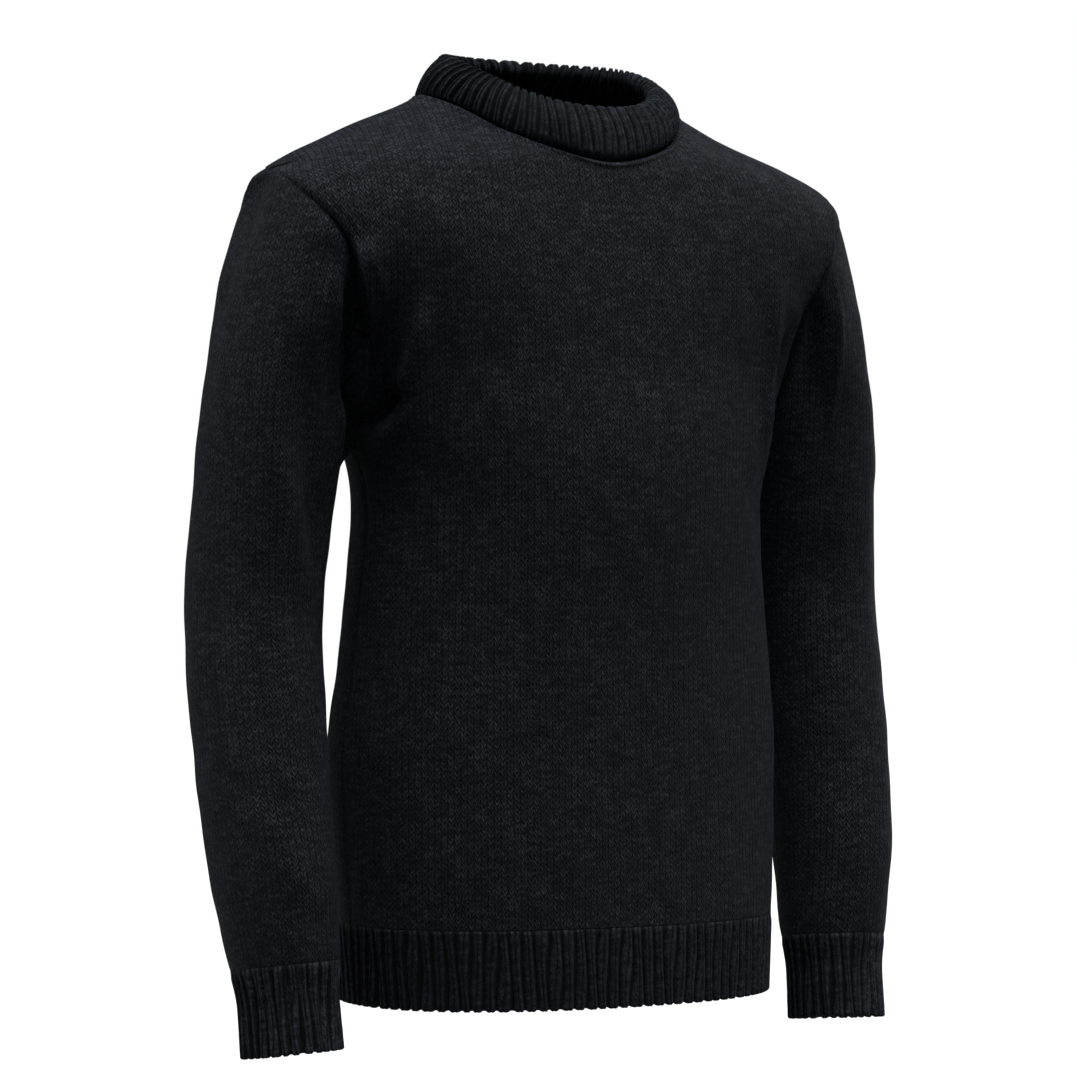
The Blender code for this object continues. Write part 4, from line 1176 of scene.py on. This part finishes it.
def melange(tree, grains, greys):
    """Colour of the melange: a ramp of its greys, read where tufts, slubs and clouds add up."""
    blend = 0.0
    for grain, (_, _, part) in grains:
        blend = add(tree, "Math", grain, part, blend, operation="MULTIPLY_ADD")
    ramp = add(tree, "ValToRGB", blend)
    points = ramp.color_ramp.elements
    points.new(GREY_PLACES[1])
    for point, place, grey in zip(points, GREY_PLACES, greys):
        point.position = place
        point.color = (*grey, 1)
    return ramp


def empty_tree(name):
    """The node tree of a material of that name, with nothing in it yet."""
    material = bpy.data.materials.get(name) or bpy.data.materials.new(name)
    material.use_nodes = True
    material.node_tree.nodes.clear()
    return material.node_tree


def wool(name, greys, wale, look, sizes, colours):
    """Melange lambswool, spun loose and knitted: matt, with a faint cool sheen off its fibre ends.

    What the eye gets is a dark grey with lighter tufts, stitches that catch the light on their
    legs and are nearly black between them, partly by shade painted into the colour, and no highlight.
    """
    tree = empty_tree(name)
    solid = add(tree, "TexCoord").outputs["Object"]
    cloth = add(tree, "UVMap", uv_map="cloth")
    along_rows = add(tree, "VectorMath", cloth, SLUB_STRETCH, operation="MULTIPLY")
    grains = ((solid, STRAY), (along_rows, SLUB), (solid, TUFT), (solid, CLOUD), (solid, FIBRE))
    stray, slubs, tufts, clouds, fibres = (
        add(tree, "TexNoise", where, named={"Scale": 1 / grain[0], "Detail": grain[1],
                                            "Roughness": ROUGH_DETAIL})
        for where, grain in grains)
    place = add(tree, "VectorMath", stray.outputs["Color"], (*look["wobble"], 0), cloth,
                operation="MULTIPLY_ADD")
    stitch = stitch_height(tree, place, wale, sizes.course, look)
    ramp = melange(tree, ((slubs, SLUB), (tufts, TUFT), (clouds, CLOUD)), greys)
    # Painted shade: the wool's colour darkens in the gaps between stitches, as little light would reach
    # them.
    shade = add(tree, "Math", stitch, 1 - STITCH_GAP_PAINTED_SHADE, STITCH_GAP_PAINTED_SHADE, operation="MULTIPLY_ADD")
    bare, more = FIBRE_SHADE
    loose = add(tree, "Math", fibres, more, bare, operation="MULTIPLY_ADD")
    shade = add(tree, "Math", shade, loose, operation="MULTIPLY")
    colour = add(tree, "VectorMath", ramp, named={"Scale": shade}, operation="SCALE")
    height = add(tree, "Math", fibres, LOOSE_FIBRES, stitch, operation="MULTIPLY_ADD")
    bump = add(tree, "Bump", named={"Strength": 1.0, "Distance": sizes.stitch_relief, "Height": height})
    shader = add(tree, "BsdfPrincipled", named={
        "Base Color": colour, "Normal": bump, "Roughness": WOOL_ROUGHNESS,
        "Specular IOR Level": WOOL_SPECULAR, "Sheen Weight": colours.sheen,
        "Sheen Roughness": SHEEN_ROUGHNESS, "Sheen Tint": (*colours.sheen_tint, 1)})
    add(tree, "OutputMaterial", shader)


def knit_wool(sizes, colours):
    """Wool of the plain knitting."""
    greys = (colours.knit_dark, colours.knit_middle, colours.knit_light)
    wool(KNIT, greys, sizes.wale, PLAIN_STITCH, sizes, colours)


def rib_wool(name, pitch, fade, sizes, colours):
    """Wool of a rib, where one column of stitches fills the face of each rib; fade lightens its greys,
    which on the cuffs is painted light.
    """
    greys = [[part * fade for part in grey]
             for grey in (colours.rib_dark, colours.rib_middle, colours.rib_light)]
    wool(name, greys, pitch, RIB_STITCH, sizes, colours)


# ---- stage ---------------------------------------------------------------------------------------

CAMERA_TURN = -30                # degrees round the sweater, towards the wearer's right
CAMERA_DISTANCE = 2.9
CAMERA_Z = -0.348
PHOTO_SIZE = 1077                # pixels, both ways
FOCUS_PIXELS = 3892              # the lens, in the photograph's pixels
AIM_X, AIM_Y = 552, 580          # pixel that the camera's axis meets, in the photograph
SENSOR = 36                      # millimetres
FLOOR_Z = -1.05
FLOOR_RADIUS = 30
FLOOR_SIDES = 96
FLOOR_WHITE = "#f4f4f4"
FLOOR_ROUGHNESS = 0.9

# Soft boxes: name, place (x, y, z), size (wide, high), watts.
SOFT_BOXES = (
    ("key", (-0.6, -2.0, 2.6), (1.2, 1.2), 10),
    ("rim_right", (-2.4, 0.9, 0.6), (0.7, 1.8), 20),
    ("rim_left", (2.3, 1.3, 0.3), (0.7, 1.8), 16),
)
LIGHT_AIM = Vector((0, 0, -0.25))
SKY_SUN = 4.2                    # watts per square metre from the ceiling, enough for a white floor
SKY_ANGLE = 45                   # degrees across, so that shadows are soft
SKY_TILT = (14, 4)               # degrees by which it comes from the front, and from the wearer's left
CEILING_PLACE = (0, 0, 3)
ROOM_LIGHT = 0.015               # what the white room's walls give the wool
ROOM_WHITE = 1.0                 # how bright the room looks


def make_camera():
    """The photograph's camera: to the wearer's right of centre front, level, with a long lens."""
    bpy.ops.object.camera_add()
    camera = bpy.context.object
    turn = radians(CAMERA_TURN)
    camera.location = (sin(turn) * CAMERA_DISTANCE, -cos(turn) * CAMERA_DISTANCE, CAMERA_Z)
    camera.rotation_euler = (pi / 2, 0, turn)
    camera.data.sensor_width = SENSOR
    camera.data.lens = FOCUS_PIXELS / PHOTO_SIZE * SENSOR
    camera.data.shift_x = (PHOTO_SIZE / 2 - AIM_X) / PHOTO_SIZE
    camera.data.shift_y = (AIM_Y - PHOTO_SIZE / 2) / PHOTO_SIZE
    bpy.context.scene.camera = camera


def make_floor(studio):
    """A wide floor in matt white emulsion, which shows no reflection, far below the sweater."""
    deselect()
    bpy.ops.mesh.primitive_circle_add(vertices=FLOOR_SIDES, radius=FLOOR_RADIUS, fill_type="NGON",
                                      location=(0, 0, FLOOR_Z))
    floor = bpy.context.object
    floor.name = "floor"
    paint = bpy.data.materials.new("matt_white_emulsion")
    paint.use_nodes = True
    shader = paint.node_tree.nodes["Principled BSDF"]
    shader.inputs["Base Color"].default_value = (*studio.floor, 1)
    shader.inputs["Roughness"].default_value = FLOOR_ROUGHNESS
    floor.data.materials.append(paint)
    floor.visible_diffuse = False


def make_lights(studio):
    """Three soft boxes, and the wide light of a ceiling."""
    for name, place, size, watts in SOFT_BOXES:
        bpy.ops.object.light_add(type="AREA", location=place)
        lamp = bpy.context.object
        lamp.name = name
        lamp.data.shape = "RECTANGLE"
        lamp.data.size, lamp.data.size_y = size
        lamp.data.energy = watts
        lamp.rotation_euler = (LIGHT_AIM - Vector(place)).to_track_quat("-Z", "Y").to_euler()
    bpy.ops.object.light_add(type="SUN", location=CEILING_PLACE)
    ceiling = bpy.context.object
    ceiling.name = "ceiling"
    ceiling.data.energy = studio.ceiling
    ceiling.data.angle = radians(SKY_ANGLE)
    ceiling.rotation_euler = (radians(SKY_TILT[0]), radians(SKY_TILT[1]), 0)


def make_world(studio):
    """A white room, which looks brighter than the light it throws on the wool."""
    world = bpy.data.worlds.new("studio")
    world.use_nodes = True
    tree = world.node_tree
    seen = add(tree, "LightPath").outputs["Is Camera Ray"]
    strength = add(tree, "Math", seen, ROOM_WHITE - studio.room, studio.room, operation="MULTIPLY_ADD")
    tree.links.new(strength.outputs[0], tree.nodes["Background"].inputs["Strength"])
    tree.nodes["Background"].inputs["Color"].default_value = (1, 1, 1, 1)
    bpy.context.scene.world = world
    bpy.context.scene.view_settings.view_transform = "Standard"


# ---- the add-on ----------------------------------------------------------------------------------


def finish_piece(name, walls, closed, material):
    """Makes one knitted piece in place of its solid."""
    piece = make_sheet(name + "_knit", walls, closed, bpy.data.materials[material])
    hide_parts(name)


def finish_pair(names, walls, context, closed, material):
    """Makes two pieces by one function, which is told front from back, or left from right."""
    for name, other in zip(names, (False, True)):
        finish_piece(name, walls(other, context.scene.sweater_sizes), closed, material)


def metres(name, description, default, most):
    """A property for a length."""
    return FloatProperty(name=name, description=description, default=default, min=0, max=most,
                         precision=4, unit="LENGTH")


def dye(name, description, default):
    """A property for a colour."""
    return FloatVectorProperty(name=name, description=description, default=linear(default), size=3,
                               min=0, max=1, subtype="COLOR")


class SweaterSizes(PropertyGroup):
    """Sizes of the knitting"""
    cloth: metres("Cloth", "Thickness of one layer of knitting", CLOTH, 0.006)
    rib_rise: metres("Rib height", "Height of a rib of the hem and cuffs over its groove", RIB_RISE, 0.004)
    collar_rib_rise: metres("Collar rib height", "Height of a rib of the collar over its groove",
                            COLLAR_RIB_RISE, 0.004)
    wale: metres("Stitch width", "Width of one column of stitches in the plain knitting", WALE, 0.02)
    course: metres("Stitch height", "Height of one row of stitches", COURSE, 0.02)
    stitch_relief: metres("Stitch relief", "Height of a stitch over the gaps beside it",
                          STITCH_RELIEF, 0.004)


class SweaterColours(PropertyGroup):
    """Colours of the wool"""
    knit_dark: dye("Dark wool", "Darkest tufts of the plain knitting", KNIT_COLOURS[0])
    knit_middle: dye("Wool", "Main grey of the plain knitting", KNIT_COLOURS[1])
    knit_light: dye("Light wool", "Lightest tufts of the plain knitting", KNIT_COLOURS[2])
    rib_dark: dye("Dark rib wool", "Darkest tufts of the ribs", RIB_COLOURS[0])
    rib_middle: dye("Rib wool", "Main grey of the ribs", RIB_COLOURS[1])
    rib_light: dye("Light rib wool", "Lightest tufts of the ribs", RIB_COLOURS[2])
    sheen: FloatProperty(name="Sheen", description="Cool bloom off the fibre ends", default=SHEEN,
                         min=0, max=1, subtype="FACTOR")
    sheen_tint: dye("Sheen colour", "Colour of that bloom", SHEEN_TINT)


class SweaterStudio(PropertyGroup):
    """Light and floor of the studio"""
    ceiling: FloatProperty(name="Ceiling", description="Light from the ceiling, in watts per square metre",
                           default=SKY_SUN, min=0)
    room: FloatProperty(name="Room", description="Light from the white room's walls", default=ROOM_LIGHT,
                        min=0, max=1, subtype="FACTOR")
    floor: dye("Floor", "Paint of the floor", FLOOR_WHITE)


class SWEATER_OT_stage(Operator):
    """Set up the camera, the floor and the soft light"""
    bl_idname = "sweater.stage"
    bl_label = "Studio"

    def execute(self, context):
        studio = context.scene.sweater_studio
        make_camera()
        make_floor(studio)
        make_lights(studio)
        make_world(studio)
        return {"FINISHED"}


class SWEATER_OT_wool(Operator):
    """Mix the wool of the plain knitting and of each rib"""
    bl_idname = "sweater.wool"
    bl_label = "Wool"

    def execute(self, context):
        sizes, colours = context.scene.sweater_sizes, context.scene.sweater_colours
        knit_wool(sizes, colours)
        # fade lightens a rib's greys: painted light on the cuffs
        for name, (pitch, fade) in RIBS.items():
            rib_wool(name, pitch, fade, sizes, colours)
        return {"FINISHED"}


class SWEATER_OT_panels(Operator):
    """Knit the front and the back"""
    bl_idname = "sweater.panels"
    bl_label = "Front and back"

    def execute(self, context):
        finish_pair(("front", "back"), panel_walls, context, False, KNIT)
        return {"FINISHED"}


class SWEATER_OT_sleeves(Operator):
    """Knit both sleeves"""
    bl_idname = "sweater.sleeves"
    bl_label = "Sleeves"

    def execute(self, context):
        finish_pair(("sleeve_left", "sleeve_right"), sleeve_walls, context, True, KNIT)
        return {"FINISHED"}


class SWEATER_OT_hems(Operator):
    """Knit the hem rib, front and back"""
    bl_idname = "sweater.hems"
    bl_label = "Hem rib"

    def execute(self, context):
        finish_pair(("hem_front", "hem_back"), hem_walls, context, False, "lambswool_hem_rib")
        return {"FINISHED"}


class SWEATER_OT_cuffs(Operator):
    """Knit both cuffs"""
    bl_idname = "sweater.cuffs"
    bl_label = "Cuffs"

    def execute(self, context):
        finish_pair(("cuff_left", "cuff_right"), cuff_walls, context, True, "lambswool_cuff_rib")
        return {"FINISHED"}


class SWEATER_OT_collar(Operator):
    """Knit the doubled collar band"""
    bl_idname = "sweater.collar"
    bl_label = "Collar"

    def execute(self, context):
        walls = collar_walls(context.scene.sweater_sizes)
        finish_piece("collar", walls, True, "lambswool_collar_rib")
        return {"FINISHED"}


class SWEATER_PT_panel(Panel):
    """Sizes, colours and steps of the sweater"""
    bl_idname = "SWEATER_PT_panel"
    bl_label = "Crewneck sweater"
    bl_space_type = "VIEW_3D"
    bl_region_type = "UI"
    bl_category = "Sweater"

    def draw(self, context):
        scene = context.scene
        for group in (scene.sweater_sizes, scene.sweater_colours, scene.sweater_studio):
            for name in group.bl_rna.properties.keys():
                if name not in ("rna_type", "name"):
                    self.layout.prop(group, name)
        for step in OPERATORS:
            self.layout.operator(step.bl_idname)


OPERATORS = (SWEATER_OT_stage, SWEATER_OT_wool, SWEATER_OT_panels, SWEATER_OT_sleeves, SWEATER_OT_hems,
             SWEATER_OT_cuffs, SWEATER_OT_collar)
GROUPS = {"sweater_sizes": SweaterSizes, "sweater_colours": SweaterColours,
          "sweater_studio": SweaterStudio}
CLASSES = (*GROUPS.values(), *OPERATORS, SWEATER_PT_panel)


def register():
    """Makes the add-on's classes and values known to Blender."""
    for item in CLASSES:
        bpy.utils.register_class(item)
    for name, group in GROUPS.items():
        setattr(bpy.types.Scene, name, PointerProperty(type=group))


def unregister():
    """Takes them away again."""
    for name in GROUPS:
        delattr(bpy.types.Scene, name)
    for item in reversed(CLASSES):
        bpy.utils.unregister_class(item)


def main():
    """Makes the whole scene."""
    register()
    bpy.ops.sweater.stage()
    bpy.ops.sweater.wool()
    bpy.ops.sweater.panels()
    bpy.ops.sweater.sleeves()
    bpy.ops.sweater.hems()
    bpy.ops.sweater.cuffs()
    bpy.ops.sweater.collar()


if __name__ == "__main__":
    main()
